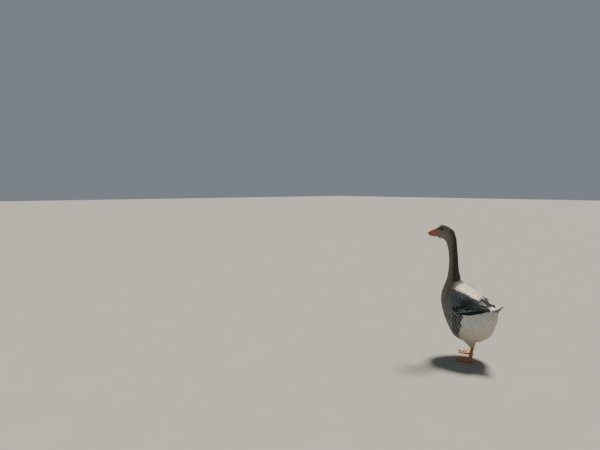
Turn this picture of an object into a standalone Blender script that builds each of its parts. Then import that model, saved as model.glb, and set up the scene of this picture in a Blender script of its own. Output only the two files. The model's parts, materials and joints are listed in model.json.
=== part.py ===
"""A heavy grey-and-white domestic goose standing alert, life size, one object for each named part of the bird.

Metres, +Z up. The bird faces -X, so its left side is -Y. It stands on z = 0.
"""

import math

import bmesh
import bpy
from mathutils import Matrix, Vector
from mathutils.bvhtree import BVHTree

# Clearance that touching parts keep, and how far a cut surface stands off its neighbour.
GAP = 0.0003
STAND_OFF = 0.0004

# Rings of the trunk, neck and head share this many points.
AROUND = 32

# The trunk as level slices: height, front, back, half width. The first row is the belly's lowest point.
TRUNK_ROWS = (
    (0.109, -0.008, -0.006, 0.001),
    (0.113, -0.048, 0.038, 0.044),
    (0.125, -0.082, 0.077, 0.073),
    (0.149, -0.107, 0.109, 0.096),
    (0.182, -0.126, 0.127, 0.110),
    (0.220, -0.146, 0.140, 0.118),
    (0.265, -0.168, 0.152, 0.119),
    (0.310, -0.184, 0.145, 0.113),
    (0.345, -0.189, 0.107, 0.103),
    (0.380, -0.186, 0.056, 0.092),
    (0.410, -0.178, 0.009, 0.078),
    (0.436, -0.168, -0.048, 0.061),
    (0.460, -0.160, -0.083, 0.048),
)
TRUNK_RINGS = 17
TRUNK_FULLNESS = 2.25

# The neck and head hang on a curved line: reach ahead of the neck's axis, height, lean from upright in
# degrees, half depth across the line, half width.
NECK_AXIS_X = -0.125
NECK_ROWS = (
    (-0.0050, 0.485, 0.0, 0.0370, 0.0410),
    (-0.0025, 0.515, 0.0, 0.0312, 0.0335),
    (-0.0010, 0.562, 2.0, 0.0274, 0.0274),
    (0.0028, 0.617, 4.0, 0.0270, 0.0262),
    (0.0082, 0.658, 6.0, 0.0278, 0.0262),
    (0.0160, 0.698, 14.0, 0.0318, 0.0268),
    (0.0240, 0.7180, 30.0, 0.0362, 0.0276),
    (0.0345, 0.7385, 46.0, 0.0425, 0.0284),
    (0.0495, 0.7495, 62.0, 0.0450, 0.0284),
    (0.0640, 0.7540, 75.0, 0.0452, 0.0272),
    (0.0775, 0.7550, 83.0, 0.0438, 0.0248),
    (0.0880, 0.7525, 87.0, 0.0396, 0.0212),
    (0.0930, 0.7495, 88.0, 0.0345, 0.0186),
)
NECK_RINGS = 27
HEAD_TURN = 25.0
TURN_FROM, TURN_TO = 0.53, 0.70
# Where the long neck is cut into lengths, by height, and where the head begins, by lean.
NECK_CUTS = (0.478, 0.590)
HEAD_FROM_LEAN = 30.0

# The bill.
BILL_LENGTH = 0.064
BILL_DROOP = 9.0
BILL_TOP = (0.0290, 0.0252, 0.0206, 0.0164, 0.0120, 0.0082, 0.0040)
BILL_UNDER = (-0.0290, -0.0288, -0.0262, -0.0224, -0.0178, -0.0136, -0.0090)
BILL_HALF_WIDTH = (0.0156, 0.0150, 0.0141, 0.0132, 0.0120, 0.0098, 0.0060)
BILL_AT = (0.0, 0.17, 0.36, 0.56, 0.76, 0.92, 1.0)
MOUTH_LINE = (-0.0150, -0.0125, -0.0095, -0.0080, -0.0076, -0.0072, -0.0066)
NOSTRIL = (0.0050, 0.0022, 0.0030)
NOSTRIL_AT = 0.42

# The eyes.
EYE_RADIUS = 0.0066
EYE_REACH, EYE_HEIGHT = 0.0700, 0.7735
EYE_BULGE = 0.0024
LID_THICKNESS = 0.0013

# The tail: where it leaves the trunk, and how it slopes up from there.
TAIL_ROOT = Vector((0.137, 0.0, 0.314))
TAIL_SLOPE = 25.0
TAIL_FEATHERS = 10
TAIL_SPREAD = 33.0

# The wings, as places on the trunk: distance along X and angle up round the trunk's own middle line.
WING_MIDDLE_Z = 0.300
WING_FRONT, WING_BACK = -0.100, 0.146
WING_LOW = ((-0.100, 22.0), (-0.084, 11.0), (-0.055, 1.0), (-0.02, -5.0), (0.045, -6.0), (0.100, 5.0), (0.146, 22.0))
WING_HIGH = ((-0.100, 46.0), (-0.084, 60.0), (-0.055, 69.0), (-0.02, 72.0), (0.05, 69.0), (0.105, 58.0), (0.146, 42.0))
WING_DEPTH = 0.0095
WING_RIM = 0.0028
FEATHERS_POINT_AT = Vector((0.262, -0.030, 0.358))

# The legs.
# The right leg is a step ahead of the left one, and both feet are flat on the floor.
LEFT_LEG = (Vector((0.016, -0.055, 0.175)), Vector((0.046, -0.060, 0.094)), Vector((0.040, -0.063, 0.015)))
STEP = (0.040, 0.062, 0.068)
THIGH_CUT, FOOT_CUT = 0.099, 0.0165
TOES = (("inner", -24.0, 0.068), ("middle", 4.0, 0.088), ("outer", 30.0, 0.080))
TOE_RADIUS = 0.0058
WEB_THICKNESS = 0.0018
CLAW_LENGTH = 0.010

GREY_BROWN = (0.20, 0.17, 0.14, 1.0)
DARK_GREY = (0.075, 0.068, 0.062, 1.0)
WHITE = (0.80, 0.78, 0.72, 1.0)
ORANGE = (0.80, 0.25, 0.06, 1.0)
PALE_ORANGE = (0.82, 0.33, 0.11, 1.0)
EYE_BROWN = (0.03, 0.015, 0.008, 1.0)


def between(rows, at, key=0):
    """The row at one value of its key column, on a smooth curve through the rows."""
    rows = sorted(rows, key=lambda row: row[key])
    at = min(max(at, rows[0][key]), rows[-1][key])
    i = max(0, min(len(rows) - 2, sum(row[key] <= at for row in rows) - 1))
    low, high = rows[i], rows[i + 1]
    before, after = rows[max(i - 1, 0)], rows[min(i + 2, len(rows) - 1)]
    width = high[key] - low[key]
    t = (at - low[key]) / width
    value = []
    for column in range(len(low)):
        rise = high[column] - low[column]
        slope_in = width * (high[column] - before[column]) / (high[key] - before[key])
        slope_out = width * (after[column] - low[column]) / (after[key] - low[key])
        if rise * slope_in <= 0 or rise * slope_out <= 0:
            slope_in, slope_out = (0.0, 0.0) if rise == 0 else (slope_in, slope_out)
        value.append(
            low[column] * (2 * t**3 - 3 * t**2 + 1)
            + slope_in * (t**3 - 2 * t**2 + t)
            + high[column] * (3 * t**2 - 2 * t**3)
            + slope_out * (t**3 - t**2)
        )
    return value


def straight(rows, at):
    """The value at a place along straight lines between (place, value) rows."""
    for (low, low_value), (high, high_value) in zip(rows, rows[1:]):
        if at <= high:
            break
    t = min(max((at - low) / (high - low), 0.0), 1.0)
    return low_value + (high_value - low_value) * t


def material(name, colour, roughness):
    made = bpy.data.materials.new(name)
    made.use_nodes = True
    shader = made.node_tree.nodes["Principled BSDF"]
    shader.inputs["Base Color"].default_value = colour
    shader.inputs["Roughness"].default_value = roughness
    shader.inputs["Metallic"].default_value = 0.0
    return made


def object_from(name, bm, finish=None):
    bmesh.ops.recalc_face_normals(bm, faces=bm.faces)
    mesh = bpy.data.meshes.new(name)
    bm.to_mesh(mesh)
    bm.free()
    made = bpy.data.objects.new(name, mesh)
    bpy.context.scene.collection.objects.link(made)
    if finish:
        made.data.materials.append(finish)
    return made


def loft(name, rings, finish=None):
    """One closed skin over rings of equal count, with a flat cap at each end."""
    bm = bmesh.new()
    loops = [[bm.verts.new(point) for point in ring] for ring in rings]
    count = len(loops[0])
    for low, high in zip(loops, loops[1:]):
        for i in range(count):
            j = (i + 1) % count
            bm.faces.new((low[i], low[j], high[j], high[i]))
    bm.faces.new(loops[0])
    bm.faces.new(loops[-1])
    return object_from(name, bm, finish)


def apply_modifiers(made):
    graph = bpy.context.evaluated_depsgraph_get()
    mesh = bpy.data.meshes.new_from_object(made.evaluated_get(graph))
    made.modifiers.clear()
    made.data = mesh


def keep_largest(made):
    """Drops every closed surface of the mesh but the one that holds most."""
    bm = bmesh.new()
    bm.from_mesh(made.data)
    bmesh.ops.triangulate(bm, faces=bm.faces)
    left = set(bm.verts)
    islands = []
    while left:
        front = [left.pop()]
        island = set(front)
        while front:
            for edge in front.pop().link_edges:
                for vert in edge.verts:
                    if vert in left:
                        left.discard(vert)
                        island.add(vert)
                        front.append(vert)
        faces = {face for vert in island for face in vert.link_faces}
        held = sum(f.verts[0].co.dot(f.verts[1].co.cross(f.verts[2].co)) for f in faces) / 6
        islands.append((held, island))
    islands.sort(key=lambda pair: pair[0])
    dropped = [vert for held, island in islands[:-1] for vert in island]
    bmesh.ops.delete(bm, geom=dropped, context="VERTS")
    bm.to_mesh(made.data)
    bm.free()


def join_all(made, pieces, solver="MANIFOLD"):
    """One union of the object with closed pieces, which are then removed."""
    group = bpy.data.collections.new("pieces_of_" + made.name)
    bpy.context.scene.collection.children.link(group)
    for piece in pieces:
        bpy.context.scene.collection.objects.unlink(piece)
        group.objects.link(piece)
    union = made.modifiers.new("join", "BOOLEAN")
    union.operation = "UNION"
    union.operand_type = "COLLECTION"
    union.collection = group
    union.solver = solver
    apply_modifiers(made)
    for piece in pieces:
        bpy.data.objects.remove(piece)
    bpy.data.collections.remove(group)
    keep_largest(made)


def cut(made, cutter, operation="DIFFERENCE", solver="MANIFOLD"):
    """Takes the cutter from the object, or keeps only what they share."""
    change = made.modifiers.new("cut", "BOOLEAN")
    change.operation = operation
    change.object = cutter
    change.solver = solver
    apply_modifiers(made)
    keep_largest(made)


def half_space(point, normal, size=2.0):
    """A big box whose one face lies on the plane, on the side that the normal points to."""
    bm = bmesh.new()
    bmesh.ops.create_cube(bm, size=size)
    bmesh.ops.translate(bm, verts=bm.verts, vec=(0, 0, size / 2))
    turn = normal.to_track_quat("Z", "Y").to_matrix().to_4x4()
    bmesh.ops.transform(bm, matrix=Matrix.Translation(point) @ turn, verts=bm.verts)
    return object_from("half_space", bm)


def keep_side(made, point, normal):
    """Keeps the part of the object on the side of the plane that the normal points to."""
    box = half_space(point, normal)
    cut(made, box, "INTERSECT")
    bpy.data.objects.remove(box)


def copy_of(made, name):
    twin = made.copy()
    twin.data = made.data.copy()
    twin.name = name
    bpy.context.scene.collection.objects.link(twin)
    return twin


def mirrored(made, name):
    """The same piece on the bird's other side."""
    twin = copy_of(made, name)
    bm = bmesh.new()
    bm.from_mesh(twin.data)
    bmesh.ops.scale(bm, vec=(1, -1, 1), verts=bm.verts)
    bmesh.ops.reverse_faces(bm, faces=bm.faces)
    bm.to_mesh(twin.data)
    bm.free()
    return twin


def moved_over(made, name):
    """A part made on the left, mirrored to the right without keeping the left one."""
    other = mirrored(made, name)
    bpy.data.objects.remove(made)
    return other


def swollen(made, distance):
    """A copy of the object grown along its normals, used as a cutter that leaves a gap."""
    twin = copy_of(made, made.name + "_grown")
    bm = bmesh.new()
    bm.from_mesh(twin.data)
    bm.normal_update()
    moves = [(vert, vert.normal * distance * vert.calc_shell_factor()) for vert in bm.verts]
    for vert, move in moves:
        vert.co += move
    bm.to_mesh(twin.data)
    bm.free()
    twin.hide_render = True
    return twin


def surface_of(made):
    graph = bpy.context.evaluated_depsgraph_get()
    return BVHTree.FromObject(made, graph)


def rounded(angle, power):
    """Cosine and sine of an angle on a superellipse."""
    c, s = math.cos(angle), math.sin(angle)
    return math.copysign(abs(c) ** (2 / power), c), math.copysign(abs(s) ** (2 / power), s)


def trunk_ring(height):
    _, front, back, half_width = between(TRUNK_ROWS, height)
    middle, half = (front + back) / 2, (back - front) / 2
    ring = []
    for i in range(AROUND):
        c, s = rounded(2 * math.pi * i / AROUND, TRUNK_FULLNESS)
        ring.append(Vector((middle - half * c, -half_width * s, height)))
    return ring


def heading(turn):
    """Level direction that the head faces after turning to the bird's left."""
    return Vector((-math.cos(math.radians(turn)), -math.sin(math.radians(turn)), 0.0))


def turn_at(height):
    t = min(max((height - TURN_FROM) / (TURN_TO - TURN_FROM), 0.0), 1.0)
    return HEAD_TURN * t * t * (3 - 2 * t)


def neck_frame(row):
    """Centre of a neck or head slice, its direction along the line, and its forward and left axes."""
    reach, height, lean = row[:3]
    ahead = heading(turn_at(height))
    lean = math.radians(lean)
    centre = Vector((NECK_AXIS_X, 0, height)) + ahead * reach
    along = ahead * math.sin(lean) + Vector((0, 0, math.cos(lean)))
    forward = ahead * math.cos(lean) - Vector((0, 0, math.sin(lean)))
    left = ahead.cross(Vector((0, 0, -1)))
    return centre, along, forward, left


def neck_row(t):
    """The slice at a share of the way from the neck's foot to the bill."""
    marked = [(i / (len(NECK_ROWS) - 1),) + row for i, row in enumerate(NECK_ROWS)]
    return between(marked, t)[1:]


def neck_ring(row):
    centre, _, forward, left = neck_frame(row)
    half_depth, half_width = row[3:]
    ring = []
    for i in range(AROUND):
        c, s = rounded(2 * math.pi * i / AROUND, 2.1)
        ring.append(centre + forward * half_depth * c + left * half_width * s)
    return ring


def share_where(column, value):
    """Share of the way along the neck where a column first reaches a value."""
    low, high = 0.0, 1.0
    for _ in range(40):
        middle = (low + high) / 2
        if neck_row(middle)[column] < value:
            low = middle
        else:
            high = middle
    return low


def whole_body():
    """Trunk, neck and head as one skin, before it is parted."""
    heights = []
    first, last = TRUNK_ROWS[0][0], TRUNK_ROWS[-1][0]
    for i in range(TRUNK_RINGS):
        t = i / (TRUNK_RINGS - 1)
        heights.append(first + (last - first) * (0.12 * t + 0.88 * t ** 1.35))
    rings = [trunk_ring(height) for height in heights]
    rings += [neck_ring(neck_row(i / (NECK_RINGS - 1))) for i in range(NECK_RINGS)]
    return loft("whole_body", rings)


def tail_frame():
    slope = math.radians(TAIL_SLOPE)
    along = Vector((math.cos(slope), 0, math.sin(slope)))
    up = Vector((-math.sin(slope), 0, math.cos(slope)))
    return along, up


def tail_cone():
    """The fleshy root of the tail with its close feathers, running into the trunk."""
    along, up = tail_frame()
    slices = (
        (-0.060, 0.042, 0.034, -0.006),
        (-0.030, 0.044, 0.032, -0.005),
        (-0.002, 0.041, 0.026, -0.003),
        (0.013, 0.036, 0.0195, -0.001),
        (0.026, 0.028, 0.0120, 0.000),
        (0.035, 0.018, 0.0065, 0.001),
    )
    rings = []
    for ahead, half_width, half_height, rise in slices:
        centre = TAIL_ROOT + along * ahead + up * rise
        ring = []
        for i in range(18):
            c, s = rounded(2 * math.pi * i / 18, 2.2)
            ring.append(centre + up * half_height * c + Vector((0, half_width * s, 0)))
        rings.append(ring)
    return loft("tail_cone", rings)


VANE_STATIONS = ((0.0, 0.66), (0.48, 1.0), (0.82, 0.86), (1.0, 0.36))
VANE_CROWN = 0.06


def vane(path, width, thickness, roll=0.0):
    """One feather: a thin closed blade along a path of (point, normal) pairs, crowned across, with a round end."""
    bm = bmesh.new()
    loops = []
    last = len(path) - 1
    for i, ((point, normal), (share, narrow)) in enumerate(zip(path, VANE_STATIONS)):
        ahead = path[min(i + 1, last)][0] - path[max(i - 1, 0)][0]
        side = ahead.cross(normal).normalized()
        lift = side.cross(ahead).normalized()
        tipped = Matrix.Rotation(math.radians(roll), 3, ahead.normalized())
        side, lift = tipped @ side, tipped @ lift
        half = width / 2 * narrow
        edge = thickness * (0.36 - 0.06 * share)
        mid = thickness * (0.55 - 0.20 * share)
        sag = lift * (half * VANE_CROWN)
        loops.append(
            [
                bm.verts.new(point - side * half - sag + lift * edge),
                bm.verts.new(point + lift * mid),
                bm.verts.new(point + side * half - sag + lift * edge),
                bm.verts.new(point + side * half - sag - lift * edge),
                bm.verts.new(point - lift * mid),
                bm.verts.new(point - side * half - sag - lift * edge),
            ]
        )
    for low, high in zip(loops, loops[1:]):
        for i in range(6):
            j = (i + 1) % 6
            if i in (0, 3):
                bm.faces.new((low[i], low[j], high[j]))
                bm.faces.new((low[i], high[j], high[i]))
            else:
                bm.faces.new((low[i], low[j], high[i]))
                bm.faces.new((low[j], high[j], high[i]))
    for ring in (loops[0], loops[-1]):
        bm.faces.new((ring[0], ring[1], ring[4], ring[5]))
        bm.faces.new((ring[1], ring[2], ring[3], ring[4]))
    return object_from("vane", bm)


def smooth_normal(trunk, point):
    """The trunk's facing at a point, evened out over its nearest flats."""
    total = Vector()
    for _, normal, _, distance in trunk.find_nearest_range(point, 0.026):
        total += normal * (0.028 - distance)
    return total.normalized()


def wing_place(trunk, x, degrees):
    """The trunk's surface point and facing at a wing place, on the bird's left."""
    out = Vector((0, -math.cos(math.radians(degrees)), math.sin(math.radians(degrees))))
    hit, _, _, _ = trunk.ray_cast(Vector((x, 0, WING_MIDDLE_Z)), out)
    return hit, smooth_normal(trunk, hit)


def wing_depth(point):
    """How thick the folded wing is over a point of the trunk, thinning to its rim."""
    degrees = math.degrees(math.atan2(point.z - WING_MIDDLE_Z, -point.y))
    low = between(WING_LOW, point.x)[1]
    high = between(WING_HIGH, point.x)[1]
    across = min(max((degrees - low) / (high - low), 0.0), 1.0)
    along = min(max((point.x - WING_FRONT) / (WING_BACK - WING_FRONT), 0.0), 1.0)
    full = math.sqrt(max(0.0, 1 - (2 * across - 1) ** 4))
    full *= min(1.0, along / 0.18) ** 0.5 * min(1.0, (1 - along) / 0.30) ** 0.5
    return WING_RIM + (WING_DEPTH - WING_RIM) * full


def wing_core(trunk):
    """The folded arm with its close feathers: a slab that hugs the trunk."""
    columns, rows = 13, 7
    outer, inner = [], []
    for i in range(columns):
        x = WING_FRONT + (WING_BACK - WING_FRONT) * i / (columns - 1)
        low, high = between(WING_LOW, x)[1], between(WING_HIGH, x)[1]
        outer.append([])
        inner.append([])
        for j in range(rows):
            hit, normal = wing_place(trunk, x, low + (high - low) * j / (rows - 1))
            outer[-1].append(hit + normal * wing_depth(hit))
            inner[-1].append(hit - normal * 0.004)
    bm = bmesh.new()
    tops = [[bm.verts.new(p) for p in line] for line in outer]
    unders = [[bm.verts.new(p) for p in line] for line in inner]
    for i in range(columns - 1):
        for j in range(rows - 1):
            bm.faces.new((tops[i][j], tops[i + 1][j], tops[i + 1][j + 1], tops[i][j + 1]))
            bm.faces.new((unders[i][j], unders[i][j + 1], unders[i + 1][j + 1], unders[i + 1][j]))
    rim = [(i, 0) for i in range(columns)]
    rim += [(columns - 1, j) for j in range(1, rows)]
    rim += [(i, rows - 1) for i in range(columns - 2, -1, -1)]
    rim += [(0, j) for j in range(rows - 2, 0, -1)]
    for (i, j), (k, m) in zip(rim, rim[1:] + rim[:1]):
        bm.faces.new((tops[i][j], unders[i][j], unders[k][m], tops[k][m]))
    return object_from("wing_core", bm)


def feather_path(trunk, start, aim, length, sink, rise):
    """Stations of a feather that lies along the trunk towards its aim, from sunk root to lifted tip."""
    point, normal = start
    path = []
    gone = 0.0
    for share, _ in VANE_STATIONS:
        step = share * length - gone
        if step > 0:
            ahead = aim - point
            ahead = (ahead - normal * ahead.dot(normal)).normalized()
            point, _, _, _ = trunk.find_nearest(point + ahead * step)
            normal = smooth_normal(trunk, point)
            gone = share * length
        lift = wing_depth(point) - sink + (sink + rise) * share ** 0.8
        path.append((point + normal * lift, normal.copy()))
    return path


# Wing feather tiers: name, count, first and last place (x, degrees), first and last length, width, roll.
WING_TIERS = (
    ("primaries", 3, (0.058, 11.0), (0.070, 26.0), 0.098, 0.094, 0.022, 9.0),
    ("secondaries", 5, (-0.060, 2.0), (0.042, 1.0), 0.078, 0.088, 0.027, 9.0),
    ("greater_coverts", 5, (-0.082, 15.0), (0.040, 11.0), 0.058, 0.066, 0.033, 9.0),
    ("median_coverts", 5, (-0.086, 29.0), (0.034, 25.0), 0.056, 0.062, 0.034, 9.0),
    ("tertials", 3, (0.040, 34.0), (0.054, 56.0), 0.090, 0.082, 0.032, -9.0),
    ("outer_scapulars", 4, (-0.084, 46.0), (0.018, 46.0), 0.064, 0.072, 0.038, -9.0),
    ("inner_scapulars", 4, (-0.066, 62.0), (0.016, 63.0), 0.060, 0.068, 0.036, -9.0),
)


def left_wing(trunk, cutter):
    core = wing_core(trunk)
    vanes = []
    for _, count, first, last, first_length, last_length, width, roll in WING_TIERS:
        for i in range(count):
            t = i / (count - 1)
            start = wing_place(trunk, first[0] + (last[0] - first[0]) * t, first[1] + (last[1] - first[1]) * t)
            length = first_length + (last_length - first_length) * t
            path = feather_path(trunk, start, FEATHERS_POINT_AT, length, 0.0030, 0.0026)
            vanes.append(vane(path, width, 0.0011, roll))
    join_all(core, vanes)
    cut(core, cutter)
    core.name = "wing_left"
    return core


def tail_vane(side_angle, out, drop, length, width, rise, curl):
    """One tail feather, at an angle to the tail's line, starting a little inside its root."""
    along, up = tail_frame()
    turn = math.radians(side_angle)
    ahead = along * math.cos(turn) + Vector((0, -math.sin(turn), 0))
    root = TAIL_ROOT + along * out + up * drop + Vector((0, -math.sin(turn) * 0.030, 0))
    path = []
    for share, _ in VANE_STATIONS:
        point = root + ahead * (share * length) + up * (rise * share + curl * share * share)
        path.append((point, up.copy()))
    return vane(path, width, 0.0012)


def fan(count, spread, out, top, step, length, width, rise, curl):
    """A row of tail feathers. The middle one lies on top, and each lies over the next one out."""
    vanes = []
    middle = (count - 1) / 2
    for i in range(count):
        side = (i - middle) / middle
        rank = abs(i - middle) - (middle % 1) + (0.5 if i < middle and middle % 1 else 0)
        vanes.append(tail_vane(side * spread, out, top - step * rank, length * (1 - 0.10 * side * side), width, rise, curl))
    return vanes


def make_tail(root_solid):
    vanes = fan(TAIL_FEATHERS, TAIL_SPREAD, 0.012, 0.0045, 0.0017, 0.050, 0.024, -0.002, 0.011)
    vanes += fan(5, 19.0, 0.004, 0.0140, 0.0020, 0.034, 0.024, -0.002, 0.003)
    vanes += fan(5, 21.0, 0.002, -0.0160, -0.0018, 0.042, 0.026, 0.005, 0.003)
    join_all(root_solid, vanes)
    along, _ = tail_frame()
    keep_side(root_solid, TAIL_ROOT + along * (GAP / 2), along)


def tube(name, stations, count=12):
    """A closed tapered limb through (centre, fore-and-aft half size, sideways half size) stations."""
    rings = []
    last = len(stations) - 1
    for i, (centre, fore, side) in enumerate(stations):
        along = (stations[min(i + 1, last)][0] - stations[max(i - 1, 0)][0]).normalized()
        across = along.cross(Vector((1, 0, 0))).normalized()
        front = across.cross(along).normalized()
        ring = []
        for j in range(count):
            angle = 2 * math.pi * j / count
            ring.append(centre + front * fore * math.cos(angle) + across * side * math.sin(angle))
        rings.append(ring)
    return loft(name, rings)


def leg_line(step):
    """Top of the thigh, hock and ankle of a leg that stands a share of the step ahead, on the bird's left."""
    return [point - Vector((ahead * step, 0, 0)) for point, ahead in zip(LEFT_LEG, STEP)]


def make_thigh(leg, cutter):
    """The feathered drumstick, from inside the flank to just above the hock."""
    top, hock, _ = leg
    stations = []
    for t, fore, side in ((0.0, 0.050, 0.040), (0.35, 0.047, 0.035), (0.62, 0.036, 0.026),
                          (0.82, 0.0215, 0.0165), (1.0, 0.0104, 0.0094)):
        centre = top.lerp(hock + Vector((0, 0, 0.004)), t)
        stations.append((centre, fore, side))
    thigh = tube("thigh_left", stations, 16)
    keep_side(thigh, Vector((0, 0, THIGH_CUT + GAP / 2)), Vector((0, 0, 1)))
    cut(thigh, cutter)
    return thigh


def make_shank(leg):
    """The bare scaly shank with its knobbly hock."""
    _, hock, ankle = leg
    line = ((-0.10, 0.0094, 0.0086), (0.03, 0.0104, 0.0092), (0.16, 0.0088, 0.0074), (0.40, 0.0072, 0.0060),
            (0.70, 0.0070, 0.0060), (0.90, 0.0082, 0.0072), (1.10, 0.0086, 0.0078))
    stations = [(hock.lerp(ankle, t), fore, side) for t, fore, side in line]
    shank = tube("shank_left", stations)
    keep_side(shank, Vector((0, 0, THIGH_CUT - GAP / 2)), Vector((0, 0, -1)))
    keep_side(shank, Vector((0, 0, FOOT_CUT + GAP / 2)), Vector((0, 0, 1)))
    return shank


def toe_direction(spread):
    """Level direction of a toe of the left foot. Spread grows away from the body."""
    angle = math.radians(spread)
    return Vector((-math.cos(angle), -math.sin(angle), 0.0))


def flat_tube(name, stations, count=8):
    """A toe: a tapered tube along level stations (centre x and y, top height, half width) with a flat sole at z = 0."""
    rings = []
    last = len(stations) - 1
    for i, (centre, top, half) in enumerate(stations):
        along = (stations[min(i + 1, last)][0] - stations[max(i - 1, 0)][0]).normalized()
        across = Vector((along.y, -along.x, 0.0))
        ring = []
        for j in range(count):
            angle = math.pi * (2 * j + 1) / count - math.pi / 2
            height = top * (0.5 + 0.5 * math.sin(angle))
            level = max(height, 0.0) if math.sin(angle) > -0.9 else 0.0
            ring.append(Vector((centre.x, centre.y, level)) + across * half * math.cos(angle))
        rings.append(ring)
    return loft(name, rings)


def make_foot(leg):
    """Three webbed toes, a small hind toe and their claws, on flat pads."""
    heel = Vector((leg[2].x, leg[2].y, 0.0))
    pieces = []
    ends = []
    for _, spread, length in TOES:
        ahead = toe_direction(spread)
        stations = [(heel - ahead * 0.004, 0.0135, 0.0072)]
        for share, swell in ((0.30, 0.88), (0.46, 1.04), (0.62, 0.84), (0.80, 0.98), (0.94, 0.74), (1.0, 0.46)):
            radius = TOE_RADIUS * swell * (1.12 - 0.36 * share)
            stations.append((heel + ahead * length * share, radius * 1.75, radius))
        pieces.append(flat_tube("toe", stations))
        ends.append((ahead, length))
        claw = []
        for share, size, drop in ((0.0, 0.0024, 0.0), (0.45, 0.0019, 0.0004), (1.0, 0.0006, 0.0024)):
            centre = heel + ahead * (length * 0.965 + CLAW_LENGTH * share) + Vector((0, 0, 0.0040 - drop))
            claw.append((centre, size, size * 0.9))
        pieces.append(tube("claw", claw, 6))
    for (first, first_length), (second, second_length) in zip(ends, ends[1:]):
        bm = bmesh.new()
        edge = [heel + first * 0.002]
        edge.append(heel + first * first_length * 0.93)
        middle = (first + second).normalized()
        edge.append(heel + middle * (first_length + second_length) * 0.5 * 0.84)
        edge.append(heel + second * second_length * 0.93)
        low = [bm.verts.new(point + Vector((0, 0, 0.0012))) for point in edge]
        high = [bm.verts.new(point + Vector((0, 0, 0.0012 + WEB_THICKNESS))) for point in edge]
        bm.faces.new(low)
        bm.faces.new(high)
        for i in range(4):
            j = (i + 1) % 4
            bm.faces.new((low[i], low[j], high[j], high[i]))
        pieces.append(object_from("web", bm))
    back = toe_direction(190.0)
    hind = []
    for share, height, size in ((0.0, 0.0130, 0.0045), (0.4, 0.0100, 0.0040), (0.75, 0.0060, 0.0034), (1.0, 0.0038, 0.0014)):
        hind.append((heel + back * 0.024 * share + Vector((0, 0, height)), size, size * 0.85))
    pieces.append(tube("hind_toe", hind, 8))
    foot = tube("foot_left", [(heel + Vector((0, 0, 0.0008)), 0.0088, 0.0080),
                              (heel + Vector((0, 0, 0.008)), 0.0096, 0.0086),
                              (heel + Vector((-0.0004, 0, 0.022)), 0.0084, 0.0078)])
    join_all(foot, pieces)
    keep_side(foot, Vector((0, 0, FOOT_CUT - GAP / 2)), Vector((0, 0, -1)))
    return foot


def bill_frame():
    """Centre of the bill's base, and its directions along, up and left."""
    ahead = heading(HEAD_TURN)
    droop = math.radians(BILL_DROOP)
    along = ahead * math.cos(droop) - Vector((0, 0, math.sin(droop)))
    up = ahead * math.sin(droop) + Vector((0, 0, math.cos(droop)))
    left = ahead.cross(Vector((0, 0, -1)))
    centre, face, _, _ = neck_frame(NECK_ROWS[-1])
    return centre, face, along, up, left


def bill_half(name, upper):
    """The upper or lower bill, whose flat sides face each other along the mouth's line."""
    centre, face, along, up, left = bill_frame()
    sign = 1 if upper else -1
    outline = BILL_TOP if upper else BILL_UNDER
    rings = []
    mouth_rows = list(zip(BILL_AT, MOUTH_LINE))
    for share, edge, half in zip(BILL_AT, outline, BILL_HALF_WIDTH):
        part_of_full = share * (1.0 if upper else 0.955)
        reach = BILL_LENGTH * part_of_full
        flat = straight(mouth_rows, part_of_full) + sign * GAP / 2
        half *= 1.0 if upper else 0.90
        ring = []
        for i in range(11):
            angle = math.pi * i / 10
            c, s = rounded(angle, 2.3)
            point = centre + along * reach + left * half * c + up * (flat + (edge - flat) * s)
            ring.append(point)
        for inset in (-0.5, 0.5):
            ring.append(centre + along * reach + left * half * inset + up * flat)
        rings.append(ring)
    made = loft(name, [[p - along * 0.006 for p in rings[0]]] + rings[1:])
    keep_side(made, centre + face * GAP, face)
    return made


def make_bill():
    upper = bill_half("bill_upper", True)
    lower = bill_half("bill_lower", False)
    centre, _, along, up, left = bill_frame()
    nail = ball("nail", centre + along * (BILL_LENGTH - 0.0065) - up * 0.0010, (0.0088, 0.0064, 0.0052), along, up, 12, 8)
    keep_side(nail, centre + up * (MOUTH_LINE[-1] + GAP), up)
    join_all(upper, [nail])
    half = BILL_HALF_WIDTH[2]
    for side in (1, -1):
        place = centre + along * BILL_LENGTH * NOSTRIL_AT + up * 0.0075 + left * side * half * 0.92
        pit = ball("pit", place, NOSTRIL, along, up, 12, 8)
        cut(upper, pit)
        bpy.data.objects.remove(pit)
    return upper, lower


def ball(name, centre, radii, along, up, segments, rings):
    """An ellipsoid with its three half sizes along, sideways and up."""
    bm = bmesh.new()
    bmesh.ops.create_uvsphere(bm, u_segments=segments, v_segments=rings, radius=1.0)
    side = up.cross(along).normalized()
    lift = along.cross(side).normalized()
    frame = Matrix((along.normalized(), side, lift)).transposed().to_4x4()
    size = Matrix.Diagonal((radii[0], radii[1], radii[2], 1.0))
    bmesh.ops.transform(bm, matrix=Matrix.Translation(centre) @ frame @ size, verts=bm.verts)
    return object_from(name, bm)


def lid_ring(name, centre, out, up):
    """The two lids as one rim round the eye, a little longer than it is high."""
    along = up.cross(out).normalized()
    rings = []
    for i in range(14):
        angle = 2 * math.pi * i / 14
        spoke = along * math.cos(angle) * 1.10 + up * math.sin(angle) * 0.92
        ring = []
        for j in range(5):
            around = 2 * math.pi * j / 5
            reach = EYE_RADIUS * 0.98 + LID_THICKNESS * math.cos(around)
            ring.append(centre + spoke * reach + out * LID_THICKNESS * math.sin(around))
        rings.append(ring)
    bm = bmesh.new()
    loops = [[bm.verts.new(p) for p in ring] for ring in rings]
    for low, high in zip(loops, loops[1:] + loops[:1]):
        for j in range(5):
            k = (j + 1) % 5
            bm.faces.new((low[j], low[k], high[k], high[j]))
    return object_from(name, bm)


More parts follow.
